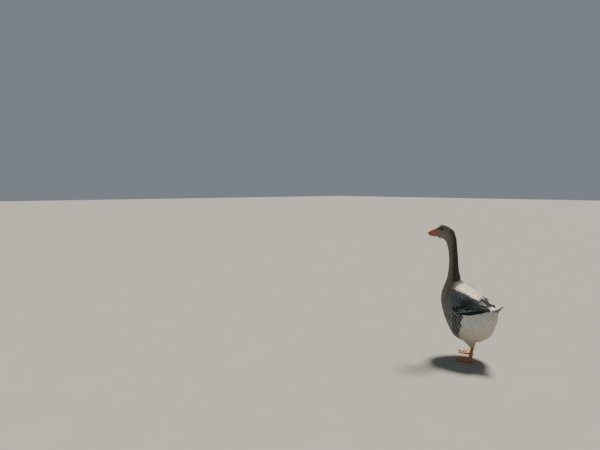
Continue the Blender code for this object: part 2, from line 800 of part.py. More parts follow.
def make_head_and_eyes(head):
    """Sets the eyes and their lids into the head."""
    ahead = heading(HEAD_TURN)
    left = ahead.cross(Vector((0, 0, -1)))
    up = Vector((0, 0, 1))
    skin = surface_of(head)
    middle = Vector((NECK_AXIS_X, 0, EYE_HEIGHT)) + ahead * EYE_REACH
    eyes = []
    for name, side in (("eye_left", 1), ("eye_right", -1)):
        hit, normal, _, _ = skin.ray_cast(middle, left * side)
        centre = hit - normal * (EYE_RADIUS - EYE_BULGE)
        join_all(head, [lid_ring("lid", hit + normal * 0.0004, normal, up)])
        socket = ball("socket", centre, (EYE_RADIUS + GAP,) * 3, ahead, up, 14, 8)
        cut(head, socket)
        bpy.data.objects.remove(socket)
        eyes.append(ball(name, centre, (EYE_RADIUS,) * 3, ahead, up, 14, 8))
    return eyes


def recentre(parts):
    """Puts the origin on the floor under the middle of the bird's box."""
    corners = [vert.co for part in parts for vert in part.data.vertices]
    low = Vector([min(corner[axis] for corner in corners) for axis in range(3)])
    high = Vector([max(corner[axis] for corner in corners) for axis in range(3)])
    move = Vector((-(low.x + high.x) / 2, -(low.y + high.y) / 2, -low.z))
    for part in parts:
        part.data.transform(Matrix.Translation(move))
    print("moved by", [round(value, 5) for value in move])


def finish_part(part, finish, smooth_below=50.0):
    part.data.materials.clear()
    part.data.materials.append(finish)
    part.data.shade_smooth()
    part.data.set_sharp_from_angle(angle=math.radians(smooth_below))


def main():
    for old in list(bpy.data.objects):
        bpy.data.objects.remove(old)

    body = whole_body()
    cone = tail_cone()
    join_all(body, [cone])
    trunk = surface_of(body)
    grown = swollen(body, STAND_OFF)

    along, _ = tail_frame()
    tail = copy_of(body, "tail")
    keep_side(tail, TAIL_ROOT + along * (GAP / 2), along)
    torso = copy_of(body, "torso")
    keep_side(torso, TAIL_ROOT - along * (GAP / 2), -along)

    up = Vector((0, 0, 1))
    low_cut, middle_cut = NECK_CUTS
    head_row = neck_row(share_where(2, HEAD_FROM_LEAN))
    head_centre, head_along, _, _ = neck_frame(head_row)
    keep_side(torso, Vector((0, 0, low_cut - GAP / 2)), -up)
    neck_lower = copy_of(body, "neck_lower")
    keep_side(neck_lower, Vector((0, 0, low_cut + GAP / 2)), up)
    keep_side(neck_lower, Vector((0, 0, middle_cut - GAP / 2)), -up)
    neck_upper = copy_of(body, "neck_upper")
    keep_side(neck_upper, Vector((0, 0, middle_cut + GAP / 2)), up)
    keep_side(neck_upper, head_centre - head_along * (GAP / 2), -head_along)
    head = copy_of(body, "head")
    keep_side(head, head_centre + head_along * (GAP / 2), head_along)

    eyes = make_head_and_eyes(head)
    bill_upper, bill_lower = make_bill()
    make_tail(tail)
    wing_left = left_wing(trunk, grown)
    wing_right = mirrored(wing_left, "wing_right")
    behind, ahead = leg_line(0.0), leg_line(1.0)
    thigh_right = moved_over(make_thigh(ahead, grown), "thigh_right")
    shank_right = moved_over(make_shank(ahead), "shank_right")
    foot_right = moved_over(make_foot(ahead), "foot_right")
    thigh_left, shank_left, foot_left = make_thigh(behind, grown), make_shank(behind), make_foot(behind)
    bpy.data.objects.remove(grown)
    bpy.data.objects.remove(body)

    grey = material("grey_feathers", GREY_BROWN, 0.75)
    dark = material("wing_feathers", DARK_GREY, 0.65)
    white = material("white_feathers", WHITE, 0.80)
    bill = material("bill_horn", ORANGE, 0.45)
    scales = material("leg_scales", PALE_ORANGE, 0.55)
    iris = material("eye", EYE_BROWN, 0.10)
    finishes = (
        (grey, (head, neck_upper, neck_lower, torso)),
        (dark, (wing_left, wing_right)),
        (white, (tail, thigh_left, thigh_right)),
        (bill, (bill_upper, bill_lower)),
        (scales, (shank_left, shank_right, foot_left, foot_right)),
        (iris, tuple(eyes)),
    )
    for finish, parts in finishes:
        for part in parts:
            finish_part(part, finish)
    recentre([part for _, parts in finishes for part in parts])


main()
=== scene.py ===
# %% [markdown]
# # A farmyard goose, feather by feather
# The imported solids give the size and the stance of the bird.
# This file dresses them: one skin, then a coat of small feathers that lie along it, then the firm vanes of
# the flanks, the wings and the tail, and last the bill, the eyes, the legs and the webbed feet.

# %% Load the solids
import json
import math

import bmesh
import bpy
import numpy as np
from mathutils import Matrix, Vector
from mathutils.bvhtree import BVHTree
from mathutils.kdtree import KDTree

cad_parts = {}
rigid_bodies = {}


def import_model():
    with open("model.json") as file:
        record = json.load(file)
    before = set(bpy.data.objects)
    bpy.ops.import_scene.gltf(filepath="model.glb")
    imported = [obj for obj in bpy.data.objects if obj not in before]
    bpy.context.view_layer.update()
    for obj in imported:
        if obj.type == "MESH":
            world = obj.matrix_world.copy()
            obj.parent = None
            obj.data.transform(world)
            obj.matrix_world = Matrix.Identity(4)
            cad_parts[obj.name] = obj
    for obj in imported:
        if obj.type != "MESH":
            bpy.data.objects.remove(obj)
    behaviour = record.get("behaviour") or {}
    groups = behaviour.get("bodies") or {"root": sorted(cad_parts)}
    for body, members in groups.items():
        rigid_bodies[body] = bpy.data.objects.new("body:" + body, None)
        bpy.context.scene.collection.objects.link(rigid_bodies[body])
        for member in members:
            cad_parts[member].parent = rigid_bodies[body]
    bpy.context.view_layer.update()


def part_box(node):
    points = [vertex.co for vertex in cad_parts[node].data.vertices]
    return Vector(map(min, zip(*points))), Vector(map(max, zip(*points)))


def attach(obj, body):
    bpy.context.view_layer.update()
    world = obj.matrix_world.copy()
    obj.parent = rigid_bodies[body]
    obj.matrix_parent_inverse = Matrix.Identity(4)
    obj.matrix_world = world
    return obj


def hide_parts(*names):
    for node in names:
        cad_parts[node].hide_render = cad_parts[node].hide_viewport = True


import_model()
chance = np.random.default_rng(20)

# %% [markdown]
# ## The camera
# A phone held at chest height looks down at the bird from behind its left side.
# The bird stands well right of the middle of the picture, so the camera looks past it.
# A lens of about 27.6 mm on a 36 mm wide sensor gives the perspective of the picture.

# %% Set the camera
PICTURE_WIDE, PICTURE_TALL, SENSOR_WIDTH = 600.0, 450.0, 36.0
VIEW_SIDE, VIEW_MIDDLE = math.radians(29.0), Vector((0.0, 0.0, 0.4))
VIEW_DISTANCE, VIEW_HEIGHT = 2.90, 1.02
LENS_PIXELS, HORIZON_PIXEL, BIRD_PIXEL = 460.0, 188.0, 465.6

pitch = math.atan2(PICTURE_TALL / 2 - HORIZON_PIXEL, LENS_PIXELS)
yaw = VIEW_SIDE + math.atan2(BIRD_PIXEL - PICTURE_WIDE / 2, LENS_PIXELS)
level_place = (math.sin(VIEW_SIDE) * VIEW_DISTANCE, -math.cos(VIEW_SIDE) * VIEW_DISTANCE)
eye_point = Vector((*level_place, VIEW_HEIGHT))
sight = VIEW_MIDDLE - eye_point
for _ in range(20):
    back = Vector((math.sin(yaw) * math.cos(pitch), -math.cos(yaw) * math.cos(pitch), math.sin(pitch)))
    right = Vector((math.cos(yaw), math.sin(yaw), 0.0))
    across = PICTURE_WIDE / 2 + LENS_PIXELS * sight.dot(right) / -sight.dot(back)
    yaw += (BIRD_PIXEL - across) / LENS_PIXELS
lens = bpy.data.cameras.new("camera")
lens.sensor_width = SENSOR_WIDTH
lens.lens = LENS_PIXELS / PICTURE_WIDE * SENSOR_WIDTH
camera = bpy.data.objects.new("camera", lens)
bpy.context.scene.collection.objects.link(camera)
camera_turn = Matrix((right, back.cross(right), back)).transposed().to_4x4()
camera.matrix_world = Matrix.Translation(eye_point) @ camera_turn
bpy.context.scene.camera = camera
print("camera yaw %.1f, pitch %.1f degrees" % (math.degrees(yaw), math.degrees(pitch)))

# %% [markdown]
# ## The measures of the body
# The solids were lofted through level slices of the trunk and tilted slices of the neck and head.
# The same few rows are repeated here, so that skin and feathers lie exactly on the solids.
# A smooth curve runs through the rows, and the rings between them come from that curve.

# %% Rows of the trunk, neck and head
MOVE = np.array((0.04019, 0.0, 0.0))
# height, front x, back x, half width
TRUNK_ROWS = (
    (0.109, -0.008, -0.006, 0.001),
    (0.113, -0.048, 0.038, 0.044),
    (0.125, -0.082, 0.077, 0.073),
    (0.149, -0.107, 0.109, 0.096),
    (0.182, -0.126, 0.127, 0.110),
    (0.220, -0.146, 0.140, 0.118),
    (0.265, -0.168, 0.152, 0.119),
    (0.310, -0.184, 0.145, 0.113),
    (0.345, -0.189, 0.107, 0.103),
    (0.380, -0.186, 0.056, 0.092),
    (0.410, -0.178, 0.009, 0.078),
    (0.436, -0.168, -0.048, 0.061),
    (0.460, -0.160, -0.083, 0.048),
)
NECK_AXIS_X = -0.125
# reach ahead, height, lean, half depth, half width
NECK_ROWS = (
    (-0.0050, 0.485, 0.0, 0.0370, 0.0410),
    (-0.0025, 0.515, 0.0, 0.0312, 0.0335),
    (-0.0010, 0.562, 2.0, 0.0274, 0.0274),
    (0.0028, 0.617, 4.0, 0.0270, 0.0262),
    (0.0082, 0.658, 6.0, 0.0278, 0.0262),
    (0.0160, 0.698, 14.0, 0.0318, 0.0268),
    (0.0240, 0.7180, 30.0, 0.0362, 0.0276),
    (0.0345, 0.7385, 46.0, 0.0425, 0.0284),
    (0.0495, 0.7495, 62.0, 0.0450, 0.0284),
    (0.0640, 0.7540, 75.0, 0.0452, 0.0272),
    (0.0775, 0.7550, 83.0, 0.0438, 0.0248),
    (0.0880, 0.7525, 87.0, 0.0396, 0.0212),
    (0.0930, 0.7495, 88.0, 0.0345, 0.0186),
)
HEAD_TURN, TURN_FROM, TURN_TO = 25.0, 0.53, 0.70
BILL_LENGTH, BILL_DROOP = 0.0655, math.radians(9.0)
# share along, top, underside, half width, line of the mouth
BILL_ROWS = (
    (0.0, 0.0290, -0.0290, 0.0156, -0.0150),
    (0.17, 0.0254, -0.0290, 0.0152, -0.0125),
    (0.36, 0.0212, -0.0266, 0.0144, -0.0095),
    (0.56, 0.0172, -0.0230, 0.0136, -0.0080),
    (0.76, 0.0130, -0.0186, 0.0124, -0.0076),
    (0.92, 0.0088, -0.0142, 0.0102, -0.0072),
    (1.0, 0.0042, -0.0092, 0.0064, -0.0066),
)
AROUND = 72
RING_ANGLES = np.arange(AROUND) * 2 * math.pi / AROUND


def between(rows, at):
    """The row at one value of the first column, on a smooth curve through the rows."""
    at = min(max(at, rows[0][0]), rows[-1][0])
    i = max(0, min(len(rows) - 2, sum(row[0] <= at for row in rows) - 1))
    low, high = rows[i], rows[i + 1]
    before, after = rows[max(i - 1, 0)], rows[min(i + 2, len(rows) - 1)]
    width = high[0] - low[0]
    t = (at - low[0]) / width
    value = []
    for column in range(len(low)):
        rise = high[column] - low[column]
        slope_in = width * (high[column] - before[column]) / (high[0] - before[0])
        slope_out = width * (after[column] - low[column]) / (after[0] - low[0])
        if (rise * slope_in <= 0 or rise * slope_out <= 0) and rise == 0:
            slope_in = slope_out = 0.0
        value.append(
            low[column] * (2 * t**3 - 3 * t**2 + 1)
            + slope_in * (t**3 - 2 * t**2 + t)
            + high[column] * (3 * t**2 - 2 * t**3)
            + slope_out * (t**3 - t**2)
        )
    return value


def heading(turn):
    """Level direction that the head faces after turning to the bird's left."""
    return np.array((-math.cos(math.radians(turn)), -math.sin(math.radians(turn)), 0.0))


HEAD_WAY = heading(HEAD_TURN)


def neck_frame(row):
    """Centre and the ways along, forward and left of a neck or head slice."""
    reach, height, lean = row[:3]
    t = min(max((height - TURN_FROM) / (TURN_TO - TURN_FROM), 0.0), 1.0)
    ahead = heading(HEAD_TURN * t * t * (3 - 2 * t))
    lean = math.radians(lean)
    up = np.array((0.0, 0.0, 1.0))
    centre = np.array((NECK_AXIS_X, 0.0, height)) + ahead * reach + MOVE
    along = ahead * math.sin(lean) + up * math.cos(lean)
    forward = ahead * math.cos(lean) - up * math.sin(lean)
    return centre, along, forward, np.cross(ahead, -up)


def ring(centre, forward, left, half_depth, half_width, power):
    """Points of one slice, round from the front over the bird's left."""
    c, s = np.cos(RING_ANGLES), np.sin(RING_ANGLES)
    c, s = np.sign(c) * np.abs(c) ** (2 / power), np.sign(s) * np.abs(s) ** (2 / power)
    return centre + np.outer(c * half_depth, forward) + np.outer(s * half_width, left)


print("rows: trunk", len(TRUNK_ROWS), "neck and head", len(NECK_ROWS), "bill", len(BILL_ROWS))

# %% [markdown]
# ## The form of the body as a grid
# All rings together are one grid: 72 points round, and one row for each ring from the belly to the bill.
# The outer grid is the surface of the coat. The skin is the same grid, moved inwards by the depth of the
# coat. The last few rings close the face on the bill.

# %% Rings into a grid
TRUNK_RINGS, NECK_RINGS, CLOSING_RINGS, RINGS_TO_HEAD = 48, 80, 6, 40
TRUNK_POWER, NECK_POWER = 2.25, 2.1
TINY = 1e-12

ring_sets, ring_forward, ring_left = [], [], []
for i in range(TRUNK_RINGS):
    t = i / (TRUNK_RINGS - 1)
    height = TRUNK_ROWS[0][0] + (TRUNK_ROWS[-1][0] - TRUNK_ROWS[0][0]) * (0.12 * t + 0.88 * t**1.35)
    _, front, rear, half_width = between(TRUNK_ROWS, height)
    centre = np.array(((front + rear) / 2, 0.0, height)) + MOVE
    ring_forward.append(np.array((-1.0, 0, 0)))
    ring_left.append(np.array((0, -1.0, 0)))
    half_depth = (rear - front) / 2
    ring_sets.append(ring(centre, ring_forward[-1], ring_left[-1], half_depth, half_width, TRUNK_POWER))
marked_rows = [(i / (len(NECK_ROWS) - 1),) + row for i, row in enumerate(NECK_ROWS)]
neck_rings, neck_axes = [], []
for i in range(NECK_RINGS):
    row = between(marked_rows, i / (NECK_RINGS - 1))[1:]
    centre, _, forward, left = neck_frame(row)
    neck_rings.append(ring(centre, forward, left, row[3], row[4], NECK_POWER))
    neck_axes.append((forward, left))


def unit(vectors, least=0.0):
    """The same directions with length one. least keeps empty ones from a division by zero."""
    return vectors / (np.linalg.norm(vectors, axis=-1)[..., None] + least)


def ring_between(a, b, c, d, t):
    """A ring on the smooth curve from b to c."""
    rise, bend = 2 * a - 5 * b + 4 * c - d, 3 * b - a - 3 * c + d
    return 0.5 * (2 * b + (c - a) * t + rise * t**2 + bend * t**3)


def face_edge():
    """The last ring: where the feathers of the face end on the bill, furthest forward on top."""
    up, side = -np.cos(RING_ANGLES), np.sin(RING_ANGLES)
    points = []
    for u, s in zip(up, side):
        reach = 0.0030 + 0.0050 * max(u, 0.0) ** 2 + 0.0020 * max(-u, 0.0) ** 2
        _, top, under, half, _ = between(BILL_ROWS, reach / BILL_LENGTH)
        height = u * (top if u > 0 else -under) * 1.035
        points.append(bill_base + bill_along * reach + bill_up * height + bill_left * s * half * 1.06)
    return np.array([tuple(point) for point in points])


UP = Vector((0, 0, 1))
ahead = Vector(HEAD_WAY)
bill_along = ahead * math.cos(BILL_DROOP) - UP * math.sin(BILL_DROOP)
bill_up = ahead * math.sin(BILL_DROOP) + UP * math.cos(BILL_DROOP)
bill_left = ahead.cross(-UP)
bill_base = Vector(neck_frame(NECK_ROWS[-1])[0])
closing, rest = face_edge() - neck_rings[-1], neck_rings[-1]
forward_part = np.outer(closing @ HEAD_WAY, HEAD_WAY)
sloped = np.maximum(-np.cos(RING_ANGLES), 0)[:, None] ** 0.5
for i in range(1, CLOSING_RINGS + 1):
    t, turn = i / CLOSING_RINGS, math.radians(90.0 / CLOSING_RINGS * i)
    out_share = math.sin(turn) + (t - math.sin(turn)) * sloped
    in_share = 1 - math.cos(turn) + (t - 1 + math.cos(turn)) * sloped
    neck_rings.append(rest + forward_part * out_share + (closing - forward_part) * in_share)
    neck_axes.append(neck_axes[-1])
joint = [ring_between(ring_sets[-2], ring_sets[-1], neck_rings[0], neck_rings[3], t) for t in (0.33, 0.67)]
outer = np.array(ring_sets + joint + neck_rings)
ring_forward = np.array(ring_forward + [ring_forward[-1]] * 2 + [axes[0] for axes in neck_axes])
ring_left = np.array(ring_left + [ring_left[-1]] * 2 + [axes[1] for axes in neck_axes])
RINGS, NECK_START = len(outer), len(ring_sets) + len(joint)
HEAD_START = NECK_START + RINGS_TO_HEAD
ring_middle = outer.mean(axis=1)
ring_way = np.gradient(ring_middle, axis=0)
ring_way[:NECK_START] = (0.0, 0.0, 1.0)
ring_way = unit(ring_way)
print("grid of", RINGS, "rings with", AROUND, "points each")


def grid_facing(grid):
    """Outward directions at the points of the grid."""
    facing = unit(np.cross(np.roll(grid, -1, 1) - np.roll(grid, 1, 1), np.gradient(grid, axis=0)), TINY)
    facing = -facing if ((grid - ring_middle[:, None]) * facing).sum(axis=2).mean() < 0 else facing
    facing[0] = (0.0, 0.0, -1.0)
    return facing


# %% [markdown]
# ## The forms of the face
# A goose has a shallow hollow round each eye, a brow over it, a groove from the eye to the bill and a full
# cheek. They are small moves of the grid along its own outward direction, each a smooth bump placed from the
# eye.

# %% Sculpt the face
eyes = {}
for label in ("eye_left", "eye_right"):
    low, high = (Vector(corner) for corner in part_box(label))
    eyes[label] = ((low + high) / 2, (high.z - low.z) / 2)
    print(label, "radius mm", round(eyes[label][1] * 1000, 2))

# metres ahead of the eye and up from it, size along, size up, depth (inwards)
FACE_FORMS = (
    (0.000, 0.000, 0.0140, 0.0100, 0.0013),
    (0.003, 0.0100, 0.0120, 0.0032, -0.0006),
    (0.020, 0.000, 0.0100, 0.0045, 0.0009),
    (0.004, -0.0200, 0.0140, 0.0080, -0.0007),
    (0.024, -0.0235, 0.0080, 0.0050, 0.0008),
)
facing = grid_facing(outer)
for label, side in (("eye_left", 1), ("eye_right", -1)):
    away = outer - np.array(eyes[label][0])
    along, up = away @ HEAD_WAY, away[:, :, 2]
    this_side = (away @ np.cross(HEAD_WAY, (0, 0, -1)) * side > -0.010)[:, :, None]
    for ahead_at, up_at, long, tall, sink in FACE_FORMS:
        bump = np.exp(-(((along - ahead_at) / long) ** 2) - ((up - up_at) / tall) ** 2)
        outer = outer - facing * this_side * (bump * sink)[:, :, None]
facing = grid_facing(outer)
depth = np.interp(np.arange(RINGS), (0, NECK_START - 8, NECK_START + 12, HEAD_START, RINGS - 12, RINGS - 1),
                  (0.0058, 0.0058, 0.0036, 0.0026, 0.0014, 0.0006))
skin_grid = outer - facing * depth[:, None, None]
print("coat depth mm", (depth.max() * 1000).round(1), "to", (depth.min() * 1000).round(1))

# %% [markdown]
# ## A sheet wrapped round
# Skin, shanks, toes and bill are all tubes of changing width.
# A flat grid from one operator is rolled up, each point is carried to its place, the seam is merged and the
# ends are closed. One helper does that for all of them, another makes a mirrored copy for the other side.

# %% The wrapping helper
def piece_from(name, bm):
    """A new object that keeps the mesh where it was modelled."""
    bmesh.ops.recalc_face_normals(bm, faces=bm.faces)
    mesh = bpy.data.meshes.new(name)
    bm.to_mesh(mesh)
    bm.free()
    made = bpy.data.objects.new(name, mesh)
    bpy.context.scene.collection.objects.link(made)
    made.data.shade_smooth()
    return made


def wrapped(name, round_count, long_count, place):
    """A closed tube. place takes the share of the way round and along and gives a point."""
    bm = bmesh.new()
    bmesh.ops.create_grid(bm, x_segments=round_count, y_segments=long_count, size=0.5)
    for vert in bm.verts:
        u, v = vert.co.x + 0.5, vert.co.y + 0.5
        vert.co = place(u % 1.0 if u < 0.9999 else 0.0, v)
    bmesh.ops.remove_doubles(bm, verts=bm.verts, dist=1e-7)
    bmesh.ops.holes_fill(bm, edges=[edge for edge in bm.edges if edge.is_boundary], sides=0)
    return piece_from(name, bm)


def mirrored_copy(piece, name, shift=0.0):
    """The same piece for the bird's right side, set ahead by some metres."""
    twin = piece.copy()
    twin.data, twin.name = piece.data.copy(), name
    bpy.context.scene.collection.objects.link(twin)
    bm = bmesh.new()
    bm.from_mesh(twin.data)
    bmesh.ops.scale(bm, vec=(1, -1, 1), verts=bm.verts)
    bmesh.ops.translate(bm, vec=(-shift, 0, 0), verts=bm.verts)
    bmesh.ops.reverse_faces(bm, faces=bm.faces)
    bm.to_mesh(twin.data)
    bm.free()
    return twin


def tube_place(stations):
    """Places points round a limb given as (centre, fore-and-aft half size, sideways half size)."""
    rows = []
    for i, (centre, fore, side) in enumerate(stations):
        rows.append((i / (len(stations) - 1), *centre, fore, side))

    def place(u, v):
        here, before, after = (between(rows, min(max(v + step, 0), 1)) for step in (0, -0.02, 0.02))
        along = (Vector(after[1:4]) - Vector(before[1:4])).normalized()
        across = along.cross(Vector((1, 0, 0))).normalized()
        fore = across.cross(along).normalized()
        angle = 2 * math.pi * u
        return Vector(here[1:4]) + fore * here[4] * math.cos(angle) + across * here[5] * math.sin(angle)

    return place


def unite(base, others):
    """One surface from overlapping closed pieces."""
    for other in others:
        union = base.modifiers.new("join", "BOOLEAN")
        union.operation, union.object, union.solver = "UNION", other, "MANIFOLD"
        graph = bpy.context.evaluated_depsgraph_get()
        mesh = bpy.data.meshes.new_from_object(base.evaluated_get(graph))
        base.modifiers.clear()
        base.data = mesh
        bpy.data.objects.remove(other)
    base.data.shade_smooth()
    return base


# %% [markdown]
# ## The skin
# One skin runs from the bill to the tail and down to the hocks, so no joint between the solids shows.
# The root of the tail and the two drumsticks are joined to it by Boolean unions.
# The right leg is set a step ahead of the left one, because only one shank can be told apart in the picture.

# %% Make the skin
LEFT_LEG = ((0.016, -0.055, 0.175), (0.046, -0.060, 0.094), (0.040, -0.063, 0.015))
STEP_AHEAD = (0.040, 0.062, 0.068)


def leg_points(side):
    """Top of the thigh, hock and ankle of the left (1) or right (-1) leg."""
    steps = STEP_AHEAD if side < 0 else (0, 0, 0)
    return [Vector((x - step + MOVE[0], y * side, z)) for (x, y, z), step in zip(LEFT_LEG, steps)]


TAIL_ROOT = Vector((0.137, 0.0, 0.314)) + Vector(MOVE)
TAIL_SLOPE = math.radians(25.0)
TAIL_ALONG = Vector((math.cos(TAIL_SLOPE), 0, math.sin(TAIL_SLOPE)))
TAIL_UP = Vector((-math.sin(TAIL_SLOPE), 0, math.cos(TAIL_SLOPE)))
# share, ahead, half width, half height, rise
TAIL_STUMP = (
    (0.0, -0.060, 0.040, 0.030, -0.007),
    (0.2, -0.030, 0.041, 0.028, -0.006),
    (0.4, -0.002, 0.037, 0.022, -0.004),
    (0.6, 0.013, 0.031, 0.0155, -0.002),
    (0.8, 0.026, 0.022, 0.0080, 0.000),
    (1.0, 0.034, 0.010, 0.0030, 0.001),
)
# share of the way down, fore-and-aft and sideways half size
DRUMSTICK = (
    (0.0, 0.046, 0.036),
    (0.35, 0.043, 0.031),
    (0.62, 0.032, 0.022),
    (0.82, 0.0180, 0.0135),
    (1.0, 0.0088, 0.0080),
)


def tail_stump_place(u, v):
    """A point of the tail's root: share of the way round and along."""
    _, ahead, half_width, half_height, rise = between(TAIL_STUMP, v)
    angle = 2 * math.pi * u
    point = TAIL_ROOT + TAIL_ALONG * ahead + TAIL_UP * (rise + half_height * math.cos(angle))
    return point + Vector((0, half_width * math.sin(angle), 0))


def skin_place(u, v):
    """The grid point at a share of the way round and along."""
    return Vector(skin_grid[round(v * (RINGS - 1)), round(u * AROUND) % AROUND])


skin = wrapped("skin", AROUND, RINGS - 1, skin_place)
extras = [wrapped("tail_stump", 32, 20, tail_stump_place)]
for side in (1, -1):
    top, hock, _ = leg_points(side)
    stations = [(top.lerp(hock + Vector((0, 0, 0.004)), t), fore, width) for t, fore, width in DRUMSTICK]
    extras.append(wrapped("drumstick", 28, 24, tube_place(stations)))
unite(skin, extras)
print("skin faces", len(skin.data.polygons))

# %% [markdown]
# ## Finding places on the skin
# Feathers are laid by walking over a surface, so a search tree of the skin and one of the outer coat are
# kept. Normals are taken from the corners of each face, which keeps the walk smooth.

# %% Search trees
class Ground:
    """A surface that feathers can be laid on."""

    def __init__(self, points, faces, normals):
        self.points, self.faces, self.normals = points, faces, normals
        self.tree = BVHTree.FromPolygons([tuple(p) for p in points], [tuple(f) for f in faces])
        self.facing = [Vector(normals[list(f)].mean(axis=0)).normalized() for f in faces]

    def nearest(self, point):
        """Place and outward direction of the surface nearest to a point."""
        place, _, face, _ = self.tree.find_nearest(point)
        return place, self.facing[face]

    def struck(self, start, way):
        """Place and outward direction where a ray strikes the surface."""
        place, _, face, _ = self.tree.ray_cast(start, way)
        return place, self.facing[face]


def point_tree(points):
    """A search tree over points."""
    tree = KDTree(len(points))
    for i, point in enumerate(points):
        tree.insert(point, i)
    tree.balance()
    return tree


mesh = skin.data
skin_points = np.array([tuple(v.co) for v in mesh.vertices])
skin_normals = np.array([tuple(v.normal) for v in mesh.vertices])
skin_ground = Ground(skin_points, [tuple(p.vertices) for p in mesh.polygons], skin_normals)
coat_faces = []
for i in range(RINGS - 1):
    for j in range(AROUND):
        k = (j + 1) % AROUND
        coat_faces.append((i * AROUND + j, i * AROUND + k, (i + 1) * AROUND + k, (i + 1) * AROUND + j))
coat_ground = Ground(outer.reshape(-1, 3), coat_faces, facing.reshape(-1, 3))
grid_tree = point_tree(outer.reshape(-1, 3))
grid_steps = np.linalg.norm(np.diff(outer, axis=0), axis=2).mean(axis=1)
grid_share = np.concatenate(([0.0], np.cumsum(grid_steps))) / grid_steps.sum()


def grid_place(points):
    """Ring number of each point, and its place on the unrolled skin."""
    index = np.array([grid_tree.find(p)[1] for p in points])
    rings = index // AROUND
    around = (index % AROUND) / AROUND
    return rings, np.stack((around, grid_share[rings]), axis=1) * 0.96 + 0.02


print("faces to search: skin", len(skin_ground.faces), "coat", len(coat_ground.faces))


# %% [markdown]
# ## The markings
# Grey-brown head and neck with a dark nape and painted highlight of sunlight on the crown, plain grey-brown
# breast, barred flanks, a saddle of pale-edged feathers with painted sunlight in their colour between dark
# wings with an umber patch over the rump, and white from the belly back, with a painted warm reflection of the
# ground low down. Painted shade darkens the face round each eye and ahead of it. Each colour is blended along
# borders that are named places on the body. Skin and feathers ask the same function, so they always agree.

# %% Colours and borders
GREY_BROWN = np.array((0.188, 0.174, 0.143))
NAPE = np.array((0.052, 0.051, 0.043))
FACE = np.array((0.235, 0.180, 0.120))
BREAST = np.array((0.175, 0.158, 0.130))
FLANK = np.array((0.040, 0.042, 0.042))
FLANK_EDGE = np.array((0.370, 0.380, 0.370))
WHITE = np.array((0.640, 0.645, 0.625))
# painted reflection: warm light from the ground on the white, low down
WHITE_WITH_PAINTED_BOUNCE = np.array((0.620, 0.570, 0.450))
PAINTED_WARM_BOUNCE = np.array((0.520, 0.390, 0.270))
# saddle: pale-edged feathers whose edge and core colours also carry painted sunlight
SADDLE_PALE_AND_PAINTED_SUN = np.array((0.810, 0.740, 0.610))
SADDLE_CORE_AND_PAINTED_SUN = np.array((0.450, 0.370, 0.290))
SLATE = np.array((0.013, 0.022, 0.026))
SLATE_EDGE = np.array((0.190, 0.225, 0.228))
UMBER = np.array((0.017, 0.011, 0.008))
# painted highlight: sunlight on the crown and the back of the head
CROWN_PAINTED_HIGHLIGHT = np.array((0.680, 0.630, 0.540))
LILAC = np.array((0.165, 0.152, 0.152))
# painted shade round each eye and ahead of it, under the crown
LORE_PAINTED_SHADE = np.array((0.085, 0.060, 0.042))
AXIS_HEIGHT = 0.300
# height, x
WHITE_BORDER = ((0.110, -0.045), (0.137, -0.0197), (0.182, -0.0038), (0.228, 0.0059), (0.280, 0.0133))
# lower border of the saddle and of its painted sunlight: x, angle up round the trunk
SADDLE_LOW = ((-0.071, 56.3), (-0.043, 54.5), (0.0, 52.0), (0.018, 51.0), (0.042, 47.0), (0.063, 46.0),
              (0.082, 38.5), (0.120, 38.0))
# angle over the back from the left side, x
UMBER_FROM = ((48.0, 0.113), (61.0, 0.0915), (65.5, 0.0726), (88.0, 0.0548), (112.0, 0.080))


def ease(value, low, high):
    """0 below low, 1 above high and a smooth rise between them."""
    t = np.clip((value - low) / (high - low), 0, 1)
    return t * t * (3 - 2 * t)


def mix(a, b, share):
    """Blend of two colours or directions, with one share for each place."""
    return a + (b - a) * np.asarray(share)[..., None]


def wing_angle(points):
    """Angle up round the trunk's middle line, the same on both sides."""
    return np.degrees(np.arctan2(points[:, 2] - AXIS_HEIGHT, np.abs(points[:, 1])))


